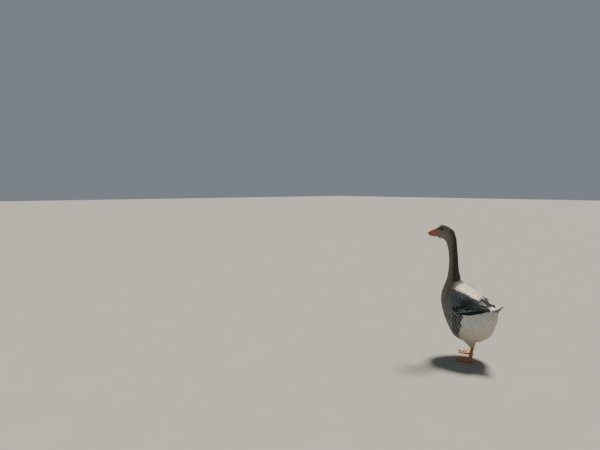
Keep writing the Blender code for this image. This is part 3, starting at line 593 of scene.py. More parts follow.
def markings(points, normals):
    """Base colour, edge colour and strength of the edge for places on the body."""
    x, z = points[:, 0] - MOVE[0], points[:, 2]
    base = mix(np.broadcast_to(BREAST, points.shape), GREY_BROWN, ease(z, 0.40, 0.50))
    behind = normals @ (-HEAD_WAY * 0.75 + np.array((0, 0, 0.65)))
    behind = normals[:, 0] + (behind - normals[:, 0]) * ease(z, 0.600, 0.740)
    base = mix(base, NAPE, ease(behind, -0.10, 0.70) * ease(z, 0.38, 0.48))
    # Painted highlight: where the crown and the back of the head face up and back, sunlight is painted pale
    # into the colour.
    rim = normals[:, 0] * 0.45 + normals[:, 2] * 0.85 - np.abs(normals[:, 1]) * 0.50
    base = mix(base, CROWN_PAINTED_HIGHLIGHT, ease(rim, 0.52, 0.80) * ease(z, 0.695, 0.735) * ease(x, -0.205, -0.175))
    near_bill = 1 - ease(np.linalg.norm(points - np.array(bill_base), axis=1), 0.020, 0.050)
    base = mix(base, FACE, 0.8 * near_bill)
    # Painted shade: a dark patch round each eye and ahead of it, under the crown.
    for centre, _ in eyes.values():
        away = points - np.array(centre) - HEAD_WAY * 0.009
        lore_shade = np.exp(-((away @ HEAD_WAY) / 0.020) ** 2 - ((away[:, 2] - 0.003) / 0.009) ** 2)
        base = mix(base, LORE_PAINTED_SHADE, 0.85 * lore_shade)
    edge = np.clip(base * 1.40 + 0.012, 0, 1)
    strength = 0.22 + 0.38 * (1 - ease(z, 0.40, 0.50))
    border = np.interp(z, *zip(*WHITE_BORDER))
    flank = ease(x, -0.100, -0.066) * (1 - ease(z, 0.30, 0.33)) * ease(z, 0.125, 0.165)
    base, edge = mix(base, FLANK, flank), mix(edge, FLANK_EDGE, flank)
    strength = strength + (1.0 - strength) * flank
    above = ease(z, 0.335, 0.36) * (1 - ease(x, 0.122, 0.136))
    white = ease(x - border + 0.003 * np.sin(z * 190), -0.006, 0.006) * (1 - above)
    # Painted reflection of the warm ground: the white turns warm lower down and further back, warmest at the
    # very bottom.
    white_share = ease(z, 0.150, 0.265) * (1 - 0.5 * ease(x, 0.060, 0.150))
    white_and_bounce = mix(np.broadcast_to(WHITE_WITH_PAINTED_BOUNCE, points.shape), WHITE, white_share)
    base, edge = mix(base, white_and_bounce, white), mix(edge, white_and_bounce * 1.10, white)
    warm_bounce = (1 - ease(z, 0.115, 0.165)) * white * 0.8
    base, edge = mix(base, PAINTED_WARM_BOUNCE, warm_bounce), mix(edge, PAINTED_WARM_BOUNCE * 1.1, warm_bounce)
    angle = wing_angle(points)
    # Saddle: pale-edged feathers with painted sunlight in their colour, above its lower border.
    front = -0.0714 + (z - 0.417) * 0.33
    saddle_and_sun = ease(angle - np.interp(x, *zip(*SADDLE_LOW)), -2, 2) * ease(x - front, -0.003, 0.004)
    saddle_and_sun = saddle_and_sun * ease(z, 0.31, 0.33) * (1 - ease(x, 0.122, 0.136))
    base, edge = mix(base, SADDLE_CORE_AND_PAINTED_SUN, saddle_and_sun), mix(edge, SADDLE_PALE_AND_PAINTED_SUN, saddle_and_sun)
    full_angle = np.degrees(np.arctan2(z - AXIS_HEIGHT, -points[:, 1]))
    behind_saddle = ease(x - np.interp(full_angle, *zip(*UMBER_FROM)), -0.004, 0.003)
    umber = behind_saddle * (1 - ease(full_angle, 126, 132)) * (1 - ease(x, 0.116, 0.122))
    umber = umber * ease(z, 0.32, 0.335)
    base, edge = mix(base, UMBER, umber), mix(edge, UMBER * 1.8, umber)
    strength = strength + (1.0 - strength) * saddle_and_sun
    return np.clip(base, 0.01, 0.85), np.clip(edge, 0.01, 0.85), strength


# The palest colour of a head ring comes from the crown's painted highlight.
crown_highlight_colour = markings(outer[HEAD_START + 16], facing[HEAD_START + 16])[0].max(axis=0)
print("palest colour of one head ring:", crown_highlight_colour.round(2))


# %% [markdown]
# ## The lie of the feathers
# Feathers point away from the bill. On the neck they run down towards the trunk. On the trunk they sweep back
# to the tail, and on the front of the breast they hang down first.
# A goose's neck is furrowed: its feathers stand in long ridges with dark grooves between them, which slant a
# little from the back of the head down to the front. A cosine round the neck gives the ridges. The grooves are
# lower, and their feathers are also darkened by painted shade.

# %% Flow directions and furrows
FURROWS, FURROW_DEPTH = 15, 0.0011
hocks = [leg_points(side)[1] for side in (1, -1)]


def near_hocks(points):
    """Level distance from the nearer hock."""
    return np.minimum(*(np.linalg.norm(points[:, :2] - np.array(hock.xy), axis=1) for hock in hocks))


def near_tail(points):
    """1 on the root of the tail, 0 well away from it."""
    return 1 - ease(np.linalg.norm(points - np.array(TAIL_ROOT + TAIL_ALONG * 0.015), axis=1), 0.036, 0.062)


def flow(points, normals, rings):
    """Direction in which the feathers at places on the body lie."""
    x, z = points[:, 0] - MOVE[0], points[:, 2]
    aim_z = np.interp(z, (0.15, 0.30), (0.275, 0.345))
    aim = unit(np.stack((np.full(len(x), 0.262 + MOVE[0]), np.zeros(len(x)), aim_z), axis=1) - points)
    hang = 1.15 * (1 - ease(x, -0.15, 0.01)) * (1 - ease(normals[:, 2], 0.2, 0.7))
    trunk = aim + np.outer(hang, (0.0, 0.0, -1.0))
    way = mix(trunk, -ring_way[rings], ease(z, 0.425, 0.485))
    leg = (1 - ease(near_hocks(points), 0.026, 0.042)) * (1 - ease(z, 0.120, 0.135))
    way = mix(way, np.array((0.25, 0.0, -1.0)), leg)
    way = mix(way, np.array(TAIL_ALONG), near_tail(points))
    way = way + chance.normal(0, 0.06, points.shape)
    way -= normals * (way * normals).sum(axis=1)[:, None]
    return unit(way)


def furrow(points, rings):
    """1 on the ridges of the neck and everywhere else, 0 in the grooves."""
    away = points - ring_middle[rings]
    forward, left = (away * ring_forward[rings]).sum(axis=1), (away * ring_left[rings]).sum(axis=1)
    angle = np.abs(np.arctan2(left, forward))
    z = points[:, 2]
    there = ease(z, 0.480, 0.560) * (1 - ease(z, 0.640, 0.730))
    sway = 0.5 * np.sin(37.0 * z + 2.0 * angle)
    return 1 - there * (0.5 - 0.5 * np.cos(FURROWS * angle - 14.0 * z + sway)) ** 2


print("hocks at height mm", [round(hock.z * 1000, 1) for hock in hocks])


# %% [markdown]
# ## Feathers from arrays
# A coat has thousands of feathers, so they are built as one joined mesh from arrays, not one by one.
# Each feather is a thin closed vane. It starts at its root, takes a few steps over the surface and lifts a
# little on the way, so each one lies over the next. A ring of points goes round it at each step, and the last
# rings are pulled to and fro along the vane, which frays the tip.
# Its colours, its barb map and its bake map are written in the same pass.

# %% Walk over a surface
def walk(ground, start, normal, way, length, shares, stiffness=0.0):
    """Points and normals of a feather's line at the given shares of its length."""
    points, normals, gone = [start], [normal], 0.0
    for share in shares[1:]:
        step = share * length - gone
        gone = share * length
        way = (way - normals[-1] * way.dot(normals[-1])).normalized()
        ahead = points[-1] + way * step
        place, normal = ground.nearest(ahead)
        above = max((ahead - place).dot(normal), 0.0)
        point = place + normal * above * stiffness
        way = (point - points[-1]).normalized()
        points.append(point)
        normals.append((normal * (1 - 0.5 * stiffness) + normals[-1] * 0.5 * stiffness).normalized())
    return points, normals


# %% Points and faces of vanes
def vane_points(lines, normals, half, lift, section, fray):
    """Rings of points round the feathers' lines, with the shape (n, stations, around, 3)."""
    across, height = np.array(section).T
    ahead = unit(np.gradient(lines, axis=1), TINY)
    side = unit(np.cross(ahead, normals), TINY)
    up = np.cross(side, ahead)
    middle = lines + normals * lift[:, :, None]
    points = middle[:, :, None] + side[:, :, None] * (half[:, :, None] * across)[..., None]
    points = points + up[:, :, None] * (height - half[:, :, None] * 0.10 * across**2)[..., None]
    frayed = fray * ease(np.linspace(0, 1, lines.shape[1]), 0.5, 0.9)
    pull = -np.abs(chance.normal(0, 1, points.shape[:3])) * frayed[None, :, None]
    return points + ahead[:, :, None] * pull[..., None]


def vane_faces(count, stations, around):
    """Corners and sizes of the faces: one quad for each side of each step, and a cap at both ends."""
    s, r = np.meshgrid(np.arange(stations - 1), np.arange(around), indexing="ij")
    n = (r + 1) % around
    corners = (s * around + r, s * around + n, (s + 1) * around + n, (s + 1) * around + r)
    quads = np.stack(corners, axis=-1).reshape(-1)
    caps = np.concatenate((np.arange(around)[::-1], (stations - 1) * around + np.arange(around)))
    one = np.concatenate((quads, caps))
    loops = (one[None] + (np.arange(count) * stations * around)[:, None]).reshape(-1)
    sizes = np.tile(np.concatenate((np.full(len(quads) // 4, 4), (around, around))), count)
    return loops, sizes


# %% Build a joined coat
def write_colours(mesh, colours):
    """One colour for each point of a mesh, in the attribute that the feather finishes read."""
    paint = mesh.attributes.new("Plumage", "FLOAT_COLOR", "POINT")
    solid = np.concatenate((colours, np.ones((len(colours), 1))), axis=1)
    paint.data.foreach_set("color", solid.reshape(-1).astype(np.float32))


def build_coat(name, lines, normals, half, lift, section, colours, bake_at, finish, length, fray):
    """One mesh of vanes.

    lines and normals are (n, stations, 3), half and lift (n, stations), section has rows (across, height).
    """
    points = vane_points(lines, normals, half, lift, section, fray)
    count, stations, around = points.shape[:3]
    loops, sizes = vane_faces(count, stations, around)
    mesh = bpy.data.meshes.new(name)
    mesh.vertices.add(count * stations * around)
    mesh.vertices.foreach_set("co", points.reshape(-1))
    mesh.loops.add(len(loops))
    mesh.loops.foreach_set("vertex_index", loops.astype(np.int32))
    mesh.polygons.add(len(sizes))
    starts = np.concatenate(([0], np.cumsum(sizes)[:-1]))
    mesh.polygons.foreach_set("loop_start", starts.astype(np.int32))
    mesh.update(calc_edges=True)
    write_colours(mesh, colours.reshape(-1, 3))
    local_u = np.broadcast_to(np.array(section)[:, 0], (count, stations, around))
    local_v = np.broadcast_to(np.linspace(0, 1, stations)[None, :, None], local_u.shape)
    barb = np.stack((local_u * half[:, :, None], local_v * length[:, None, None]), axis=-1) * 100
    patch = bake_at[:, None, None] + np.stack((local_u * 0.0015, (local_v - 0.5) * 0.003), axis=-1)
    for title, values in (("OFBake", patch), ("Vane", barb)):
        corners = values.reshape(-1, 2)[loops]
        mesh.uv_layers.new(name=title).data.foreach_set("uv", corners.reshape(-1).astype(np.float32))
    mesh.validate()
    made = bpy.data.objects.new(name, mesh)
    bpy.context.scene.collection.objects.link(made)
    mesh.shade_smooth()
    mesh.materials.append(finish)
    print("%-22s %6d feathers %8d triangles" % (name, count, int((sizes - 2).sum())))
    return made


# %% [markdown]
# ## The finish of feathers
# The colour is written on the feathers themselves. The material adds what a close look shows: fine barbs that
# slope away from the shaft, a thin shaft line, and a faint unevenness.
# The barbs are a band pattern on the feather's own map, measured in centimetres, so they keep their size.

# %% Helpers for materials
def new_material(name):
    """A fresh material, its node tree and its shader."""
    made = bpy.data.materials.new(name)
    made.use_nodes = True
    return made, made.node_tree, made.node_tree.nodes["Principled BSDF"]


def node(tree, kind, **settings):
    """A new node with its settings."""
    made = tree.nodes.new(kind)
    for key, value in settings.items():
        setattr(made, key, value)
    return made


def set_values(made, values):
    """Numbers for the inputs of a node, by their titles."""
    for title, value in values.items():
        made.inputs[title].default_value = value


def ranged(tree, source, from_range, to_range):
    """A Map Range node from one span to another."""
    made = node(tree, "ShaderNodeMapRange")
    tree.links.new(source, made.inputs["Value"])
    made.inputs["From Min"].default_value, made.inputs["From Max"].default_value = from_range
    made.inputs["To Min"].default_value, made.inputs["To Max"].default_value = to_range
    return made.outputs["Result"]


def maths(tree, operation, *values):
    """A Math node whose inputs are sockets or numbers."""
    made = node(tree, "ShaderNodeMath", operation=operation)
    for socket, value in zip(made.inputs, values):
        if isinstance(value, (int, float)):
            socket.default_value = value
        else:
            tree.links.new(value, socket)
    return made.outputs[0]


# %% Helpers for patterns
def noise(tree, scale, detail):
    """A noise pattern on Object coordinates."""
    place = node(tree, "ShaderNodeTexCoord")
    made = node(tree, "ShaderNodeTexNoise")
    set_values(made, {"Scale": scale, "Detail": detail})
    tree.links.new(place.outputs["Object"], made.inputs["Vector"])
    return made.outputs["Fac"]


def tinted(tree, colour, share):
    """A colour scaled by a pattern."""
    made = node(tree, "ShaderNodeVectorMath", operation="SCALE")
    tree.links.new(colour, made.inputs[0])
    tree.links.new(share, made.inputs["Scale"])
    return made.outputs["Vector"]


def two_tones(tree, share, dark, light, light_at=1.0):
    """A colour between two tones, chosen by a pattern."""
    ramp = node(tree, "ShaderNodeValToRGB")
    ramp.color_ramp.elements[0].color = (*dark, 1)
    ramp.color_ramp.elements[1].color = (*light, 1)
    ramp.color_ramp.elements[1].position = light_at
    tree.links.new(share, ramp.inputs["Fac"])
    return ramp.outputs["Color"]


def add_bump(tree, shader, height, strength, distance):
    """Relief on a shader from a pattern."""
    bump = node(tree, "ShaderNodeBump")
    set_values(bump, {"Strength": strength, "Distance": distance})
    tree.links.new(height, bump.inputs["Height"])
    tree.links.new(bump.outputs["Normal"], shader.inputs["Normal"])


# %% Plumage material
WAVES_PER_SCALE = 3.1831


def plumage(name, roughness, barbs_per_cm, barb_depth, shaft, sheen):
    """Feather finish. barb_depth scales the bump, shaft the strength of the shaft line."""
    made, tree, shader = new_material(name)
    link = tree.links.new
    colour = node(tree, "ShaderNodeAttribute", attribute_name="Plumage")
    vane_map = node(tree, "ShaderNodeUVMap", uv_map="Vane")
    split = node(tree, "ShaderNodeSeparateXYZ")
    link(vane_map.outputs["UV"], split.inputs[0])
    out = maths(tree, "ABSOLUTE", split.outputs["X"])
    slanted = node(tree, "ShaderNodeCombineXYZ")
    link(out, slanted.inputs["X"])
    link(maths(tree, "MULTIPLY_ADD", out, -0.9, split.outputs["Y"]), slanted.inputs["Y"])
    bands = node(tree, "ShaderNodeTexWave", wave_type="BANDS", bands_direction="Y")
    set_values(bands, {"Scale": barbs_per_cm / WAVES_PER_SCALE, "Distortion": 1.4, "Detail": 2.0})
    set_values(bands, {"Detail Scale": 1.5})
    link(slanted.outputs[0], bands.inputs["Vector"])
    shade = ranged(tree, bands.outputs["Fac"], (0.0, 1.0), (0.84, 1.07))
    mottle = ranged(tree, noise(tree, 60.0, 4.0), (0.3, 0.7), (0.90, 1.09))
    spine = ranged(tree, out, (0.03, 0.07), (1.0 - shaft, 1.0))
    share = maths(tree, "MULTIPLY", maths(tree, "MULTIPLY", shade, mottle), spine)
    link(tinted(tree, colour.outputs["Color"], share), shader.inputs["Base Color"])
    add_bump(tree, shader, bands.outputs["Fac"], 0.45, barb_depth)
    set_values(shader, {"Roughness": roughness, "Specular IOR Level": 0.14})
    set_values(shader, {"Sheen Weight": sheen, "Sheen Roughness": 0.5})
    return made


head_feathers = plumage("head_feathers", 0.60, 16.0, 0.00012, 0.05, 0.60)
small_feathers = plumage("small_feathers", 0.80, 16.0, 0.00014, 0.08, 0.03)
soft_feathers = plumage("soft_feathers", 0.85, 12.0, 0.00016, 0.03, 0.12)
firm_feathers = plumage("firm_feathers", 0.62, 13.0, 0.00022, 0.28, 0.0)
for finish in (head_feathers, small_feathers, soft_feathers, firm_feathers):
    print("finish", finish.name, "with", len(finish.node_tree.nodes), "nodes")

# %% [markdown]
# ## Where feathers grow
# Real feathers are evenly spaced, small on the head and large on the belly. Many places are scattered over
# the skin, more where feathers are small. Then one after another is kept and its near neighbours are dropped,
# which leaves an even spread with no rows.

# %% Sizes over the body
WING_FRONT, WING_BACK = -0.100, 0.146
# x, angle of the folded wing's lower and upper edge
WING_LOW = ((-0.100, 22.0), (-0.084, 11.0), (-0.055, 1.0), (-0.02, -5.0), (0.045, -6.0), (0.100, 5.0),
            (0.146, 22.0))
WING_HIGH = ((-0.100, 46.0), (-0.084, 60.0), (-0.055, 69.0), (-0.02, 72.0), (0.05, 69.0), (0.105, 58.0),
             (0.146, 42.0))
HEAD_COAT_FROM = HEAD_START + 10
BELLY_TOP = 0.34


def thigh_share(points):
    """1 on the drumsticks, 0 well away from them."""
    return (1 - ease(near_hocks(points), 0.022, 0.038)) * (1 - ease(points[:, 2], 0.125, 0.140))


def feather_length(points, rings):
    """Length of the feathers that grow at places on the body, in metres."""
    x, z = points[:, 0] - MOVE[0], points[:, 2]
    on_head = np.interp(rings, (NECK_START, NECK_START + 20, HEAD_START + 8, HEAD_START + 24, RINGS - 1),
                        (0.0175, 0.0125, 0.0108, 0.0072, 0.0042))
    on_trunk = np.interp(z, (0.11, 0.16, 0.30, 0.42), (0.034, 0.037, 0.033, 0.022))
    length = np.where(rings >= NECK_START, on_head, on_trunk)
    length = length * (1 - 0.55 * thigh_share(points)) * (1 - 0.55 * near_tail(points))
    for centre, _ in eyes.values():
        away = np.linalg.norm(points - np.array(centre), axis=1)
        length = length * (0.55 + 0.45 * ease(away, 0.008, 0.016))
    return length


def spacing(points, rings):
    """Distance that a root keeps from its neighbours, in metres."""
    share = np.where(rings >= HEAD_COAT_FROM, 0.195, np.where(rings >= NECK_START, 0.180, 0.172))
    border = np.interp(points[:, 2], *zip(*WHITE_BORDER))
    share = share - 0.024 * ((points[:, 0] - MOVE[0] > border - 0.010) & (points[:, 2] < BELLY_TOP))
    return feather_length(points, rings) * share


on_grid = feather_length(outer.reshape(-1, 3), np.repeat(np.arange(RINGS), AROUND)) * 1000
print("feathers from %.1f to %.1f mm long" % (on_grid.min(), on_grid.max()))


# %% Scatter the roots
SCATTER_TRIES = 170000


def scatter(ground, tries, keep_place):
    """Evenly spread places on a surface, closer where feathers are short."""
    threes = np.array([(f[0], f[j], f[j + 1]) for f in ground.faces for j in range(1, len(f) - 1)])
    corners = ground.points[threes]
    area = np.linalg.norm(np.cross(corners[:, 1] - corners[:, 0], corners[:, 2] - corners[:, 0]), axis=1)
    weight = area / spacing(corners.mean(axis=1), grid_place(corners.mean(axis=1))[0]) ** 2
    chosen = chance.choice(len(threes), size=tries, p=weight / weight.sum())
    u, v = chance.random((2, tries))
    over = u + v > 1
    u[over], v[over] = 1 - u[over], 1 - v[over]
    shares = np.stack((1 - u - v, u, v), axis=1)[:, :, None]
    points = (corners[chosen] * shares).sum(axis=1)
    normals = unit((ground.normals[threes[chosen]] * shares).sum(axis=1))
    use = keep_place(points)
    points, normals = points[use], normals[use]
    rings, bake_at = grid_place(points)
    apart = spacing(points, rings)
    tree = point_tree(points)
    alive = np.ones(len(points), dtype=bool)
    kept = []
    for i in range(len(points)):
        if alive[i]:
            kept.append(i)
            for _, other, _ in tree.find_range(points[i], apart[i]):
                alive[other] = False
    return points[kept], normals[kept], rings[kept], bake_at[kept]


# %% [markdown]
# ## Places that stay free
# No small feather grows on the eyelids, under the wings, where the bill starts, below the hock, on the end of
# the tail's root, or on the flank, whose larger barred feathers are laid in files of their own.

# %% Free places
FLANK_FRONT, FLANK_MARGIN = -0.090, 0.004


def on_flank(points):
    """True where the flank's own files of feathers grow."""
    x, z = points[:, 0] - MOVE[0], points[:, 2]
    border = np.interp(z, *zip(*WHITE_BORDER)) - 0.016 - FLANK_MARGIN
    return (x > FLANK_FRONT + FLANK_MARGIN) & (x < border) & (z > 0.165 + FLANK_MARGIN) & (z < 0.33)


def free_places(points):
    """True where small feathers may grow."""
    use = ~on_flank(points)
    for centre, radius in eyes.values():
        for ahead_of in (0.0, 0.0035):
            use &= np.linalg.norm(points - HEAD_WAY * ahead_of - np.array(centre), axis=1) > radius * 1.10
    x, angle = points[:, 0] - MOVE[0], wing_angle(points)
    low = np.interp(x, *zip(*WING_LOW)) + 7
    high = np.interp(x, *zip(*WING_HIGH)) - 9
    use &= ~((x > WING_FRONT + 0.020) & (x < WING_BACK - 0.014) & (angle > low) & (angle < high))
    use &= near_tail(points) < 0.80
    away = points - np.array(bill_base)
    round_bill = np.hypot(away[:, 2] / 0.0235, (away @ np.array(bill_left)) / 0.0125)
    use &= ~((away @ HEAD_WAY > -0.001) & (round_bill < 1))
    return use & (points[:, 2] > hocks[0].z + 0.006)


roots, root_normals, root_rings, root_bake = scatter(skin_ground, SCATTER_TRIES, free_places)
root_length = feather_length(roots, root_rings) * (1 + 0.08 * chance.normal(0, 1, len(roots)))
root_way = flow(roots, root_normals, root_rings)
print("feathers on the body:", len(roots))

# %% [markdown]
# ## Growing the body coat
# Every root takes its walk over the skin. A feather rises quickly from its root and then lies nearly flat, so
# the coat is full but smooth. Small ones get a simple lens-shaped section, large ones a fuller one.
# A feather takes the colour of the place where it shows, which is near its tip and not at its root.

# %% Vane outlines
# share of the length, width, height in the coat
OUTLINES = {
    "small": ((0.0, 0.42, 0.15), (0.40, 1.0, 0.76), (0.76, 0.80, 0.95), (1.0, 0.14, 0.98)),
    "body": ((0.0, 0.36, 0.25), (0.26, 0.86, 0.70), (0.54, 1.0, 0.88), (0.77, 0.92, 0.94), (0.92, 0.62, 0.99),
             (1.0, 0.22, 0.99)),
    "soft": ((0.0, 0.40, 0.40), (0.28, 0.88, 0.82), (0.55, 1.0, 0.94), (0.78, 0.86, 1.00), (0.92, 0.50, 0.99),
             (1.0, 0.14, 0.95)),
    "wing": ((0.0, 0.45, 0.0), (0.15, 0.72, 0.22), (0.32, 0.90, 0.40), (0.50, 1.0, 0.57), (0.68, 0.98, 0.73),
             (0.82, 0.86, 0.85), (0.91, 0.68, 0.93), (0.97, 0.44, 0.97), (1.0, 0.18, 1.0)),
}
# across (-1 to 1), height in metres
SMALL_SECTION = ((-1, 0.0), (0, 0.00032), (1, 0.0), (0, -0.00032))
BODY_SECTION = ((-1, 0.0), (-0.5, 0.00028), (0, 0.00038), (0.5, 0.00028), (1, 0.0), (0, -0.0003))
WING_ACROSS = (-1, -0.86, -0.66, -0.34, 0, 0.34, 0.66, 0.86, 1)
WING_UPPER = tuple((w, 0.00022 * (1 - w * w) + (0.00030 if w == 0 else 0.0)) for w in WING_ACROSS)
WING_SECTION = WING_UPPER + ((0.5, -0.0003), (0, -0.00045), (-0.5, -0.0003))
ROOT_DEPTH = 0.0003
for kind, outline in OUTLINES.items():
    print(kind, "outline has", len(outline), "stations")


# %% One coat of the body
def body_coat(name, chosen, kind, finish, uneven, root_shade):
    """Feathers of one region of the body."""
    small = kind == "small"
    section = SMALL_SECTION if small else BODY_SECTION
    shares, narrow, raised = np.array(OUTLINES[kind]).T
    index = np.where(chosen)[0]
    count, length = len(index), root_length[index]
    lines, normals = [], []
    for i in index:
        start, normal, way = (Vector(values[i]) for values in (roots, root_normals, root_way))
        line, line_normals = walk(skin_ground, start, normal, way, root_length[i], shares)
        lines.append(line)
        normals.append(line_normals)
    lines, normals = np.array(lines), np.array(normals)
    width = length * (0.29 if small else 0.30)
    half = width[:, None] * narrow[None] * (1 + chance.normal(0, 0.06, (count, len(shares))))
    ridge = furrow(lines[:, -2], root_rings[index])
    full = 0.90 * depth[root_rings[index]] * (1 - 0.82 * near_tail(roots[index]) ** 0.7)
    top = full - FURROW_DEPTH * (1 - ridge)
    lift_jitter = (0.02 if kind == "soft" else 0.06) * chance.normal(0, 1, (count, 1))
    lift = -ROOT_DEPTH + top[:, None] * raised[None] * (1 + lift_jitter)
    base, edge, strength = markings(lines[:, -2], normals[:, -2])
    # Painted shade: feathers in the neck's grooves are made up to a quarter darker.
    tone = (1 + uneven * chance.normal(0, 1, (count, 1))) * (0.76 + 0.24 * ridge[:, None])
    base, edge = mix(base, edge, 0.6 * chance.random(count) ** 2) * tone, edge * tone
    across = np.abs(np.array(section)[:, 0])
    sides = ease(across, 0.75, 1.0)[None] * ease(shares, 0.3, 0.7)[:, None]
    rim = np.clip(ease(shares, 0.74, 0.98)[:, None] + sides, 0, 1)[None] * strength[:, None, None]
    shading = 1 - root_shade * (1 - ease(shares, 0.1, 0.7))
    colours = mix(base[:, None, None], edge[:, None, None], rim) * shading[None, :, None, None]
    colours = np.clip(colours, 0.005, 0.88)
    fray = 0.0002 if small else 0.0007
    made = build_coat(name, lines, normals, half, lift, section, colours, root_bake[index], finish, length,
                      fray)
    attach(made, "root")
    return made


# %% Grow it by region
SHOULDER_END, VENT_FROM = -0.045, 0.215
x, z = roots[:, 0] - MOVE[0], roots[:, 2]
on_neck, on_head = root_rings >= NECK_START, root_rings >= HEAD_COAT_FROM
white_part = x > np.interp(z, *zip(*WHITE_BORDER)) - 0.010
low, high, front = ~on_neck & (z < BELLY_TOP), ~on_neck & (z >= BELLY_TOP), x < SHOULDER_END
# roots, outline, finish, unevenness, shade at the root, slot
regions = {
    "head_coat": (on_neck & on_head, "small", head_feathers, 0.06, 0.30, "grey_feathers"),
    "neck_coat": (on_neck & ~on_head, "small", small_feathers, 0.06, 0.20, "grey_feathers"),
    "breast_coat": (low & ~white_part, "body", small_feathers, 0.05, 0.12, "grey_feathers"),
    "shoulder_coat": (high & front, "body", small_feathers, 0.05, 0.12, "grey_feathers"),
    "belly_coat": (low & white_part & (z < VENT_FROM), "soft", soft_feathers, 0.015, 0.06, "white_feathers"),
    "vent_coat": (low & white_part & (z >= VENT_FROM), "soft", soft_feathers, 0.015, 0.06, "white_feathers"),
    "back_coat": (high & ~front, "body", small_feathers, 0.06, 0.20, "grey_feathers"),
}
for name, (chosen, kind, finish, uneven, root_shade, slot) in regions.items():
    body_coat(name, chosen, kind, finish, uneven, root_shade)

# %% [markdown]
# ## Colouring the skin
# The skin shows only as a dark ground between feathers. It wears the same markings, made a quarter darker as
# painted shade between the feathers.

# %% Paint the skin
def down_finish():
    """Matte downy ground under the coat."""
    made, tree, shader = new_material("down")
    colour = node(tree, "ShaderNodeAttribute", attribute_name="Plumage")
    fluff = noise(tree, 900.0, 6.0)
    tint = tinted(tree, colour.outputs["Color"], ranged(tree, fluff, (0.0, 1.0), (0.7, 1.1)))
    tree.links.new(tint, shader.inputs["Base Color"])
    add_bump(tree, shader, fluff, 1.0, 0.0006)
    set_values(shader, {"Roughness": 0.9})
    return made


down = down_finish()
# Painted shade: the skin is a quarter darker than the markings, as shade between the feathers.
shaded_skin_colours = markings(skin_points, skin_normals)[0] * 0.75
write_colours(skin.data, shaded_skin_colours)
skin.data.materials.clear()
skin.data.materials.append(down)
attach(skin, "root")
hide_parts("head", "neck_upper", "neck_lower", "torso", "thigh_left", "thigh_right")
print("skin colours from", shaded_skin_colours.min(axis=0).round(3), "to", shaded_skin_colours.max(axis=0).round(3))

# %% [markdown]
# ## Firm vanes
# Flank, wing and tail feathers are larger and firmer than the coat, and each has a dark middle and a pale
# rim. They share one builder. A vane is a small record of its line, its width and its colours, and a list of
# them becomes one mesh. The pale rim is wider on the lower edge, which is the one that lies on top.

# %% Vane records
wing_shares, wing_narrow, wing_raised = np.array(OUTLINES["wing"]).T
FLIP = np.array((1.0, -1.0, 1.0))


def rolled(normals, lines, degrees):
    """Normals tipped about each feather's line. A negative roll lifts the lower edge over the next vane."""
    ahead = unit(np.gradient(lines, axis=1), TINY)
    turn = np.radians(degrees)[:, None, None]
    return normals * np.cos(turn) + np.cross(ahead, normals) * np.sin(turn)


def vane(line, normals, lift, width, length, roll, base, edge, rim, upper=0.35, sides_from=0.15,
         tip_tone=1.0):
    """Record of one firm vane: its line, its measures and its colours."""
    half = width / 2 * wing_narrow
    return dict(line=line, normals=normals, lift=lift, half=half, length=length, roll=roll, base=base,
                edge=edge, rim=rim, upper=upper, sides=sides_from, tip=tip_tone)


def vane_colours(every, lower_sign, uneven):
    """Dark middle with a pale rim. rim and upper give the widths on the lower and the upper edge."""
    across = np.array(WING_SECTION)[:, 0][None, None] * lower_sign
    s = wing_shares[None, :, None]
    rim, upper, sides_from, tip = (every[key][:, None, None] for key in ("rim", "upper", "sides", "tip"))
    low = np.clip((across - (1 - rim)) / (rim * 0.6), 0, 1)
    high = np.clip((-across - (1 - rim * upper)) / (rim * upper * 0.6 + 1e-6), 0, 1)
    sides = np.maximum(low, high) * ease(s, sides_from, sides_from + 0.2)
    share = np.maximum(sides, ease(s, 1 - rim * 0.50, 1 - rim * 0.20))
    tone = (1 + uneven * chance.normal(0, 1, len(rim)))[:, None, None] * (1 + (tip - 1) * s)
    base, edge = every["base"][:, None, None], every["edge"][:, None, None]
    return np.clip(mix(base, edge, share) * tone[..., None], 0.004, 0.88)


def build_vanes(name, vanes, mirrored, finish, uneven=0.10):
    """One mesh of firm vanes. mirrored carries them to the bird's right."""
    every = {key: np.array([one[key] for one in vanes]) for key in vanes[0]}
    lines, normals = every["line"], rolled(every["normals"], every["line"], every["roll"])
    if mirrored:
        lines, normals = lines * FLIP, normals * FLIP
    colours = vane_colours(every, -1 if mirrored else 1, uneven)
    bake_at = grid_place(lines[:, 0])[1]
    made = build_coat(name, lines, normals, every["half"], every["lift"], WING_SECTION, colours, bake_at,
                      finish, every["length"], 0.0003)
    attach(made, "root")
    return made


print("a firm vane has", len(wing_shares), "stations with", len(WING_SECTION), "points each")


# %% [markdown]
# ## The barred flank
# Below the wing a goose has rows of broad dark feathers with pale ends. They lie in files, so the pale ends
# line up to slanting bars. The files are a lattice on the side view of the bird: one step goes along the
# feathers, the other across them, and a ray from the side finds each root on the skin.

# %% Lay the flank
FLANK_WAY = Vector((0.756, 0.0, -0.655))
FLANK_ACROSS = Vector((0.430, 0.0, 0.903))
FLANK_STEP, FLANK_FILE, FLANK_LENGTH, FLANK_WIDTH = 0.0138, 0.0125, 0.037, 0.024
FLANK_MIDDLE = Vector((-0.030 + MOVE[0], 0, 0.240))
PLAIN_EDGE = BREAST * 1.3


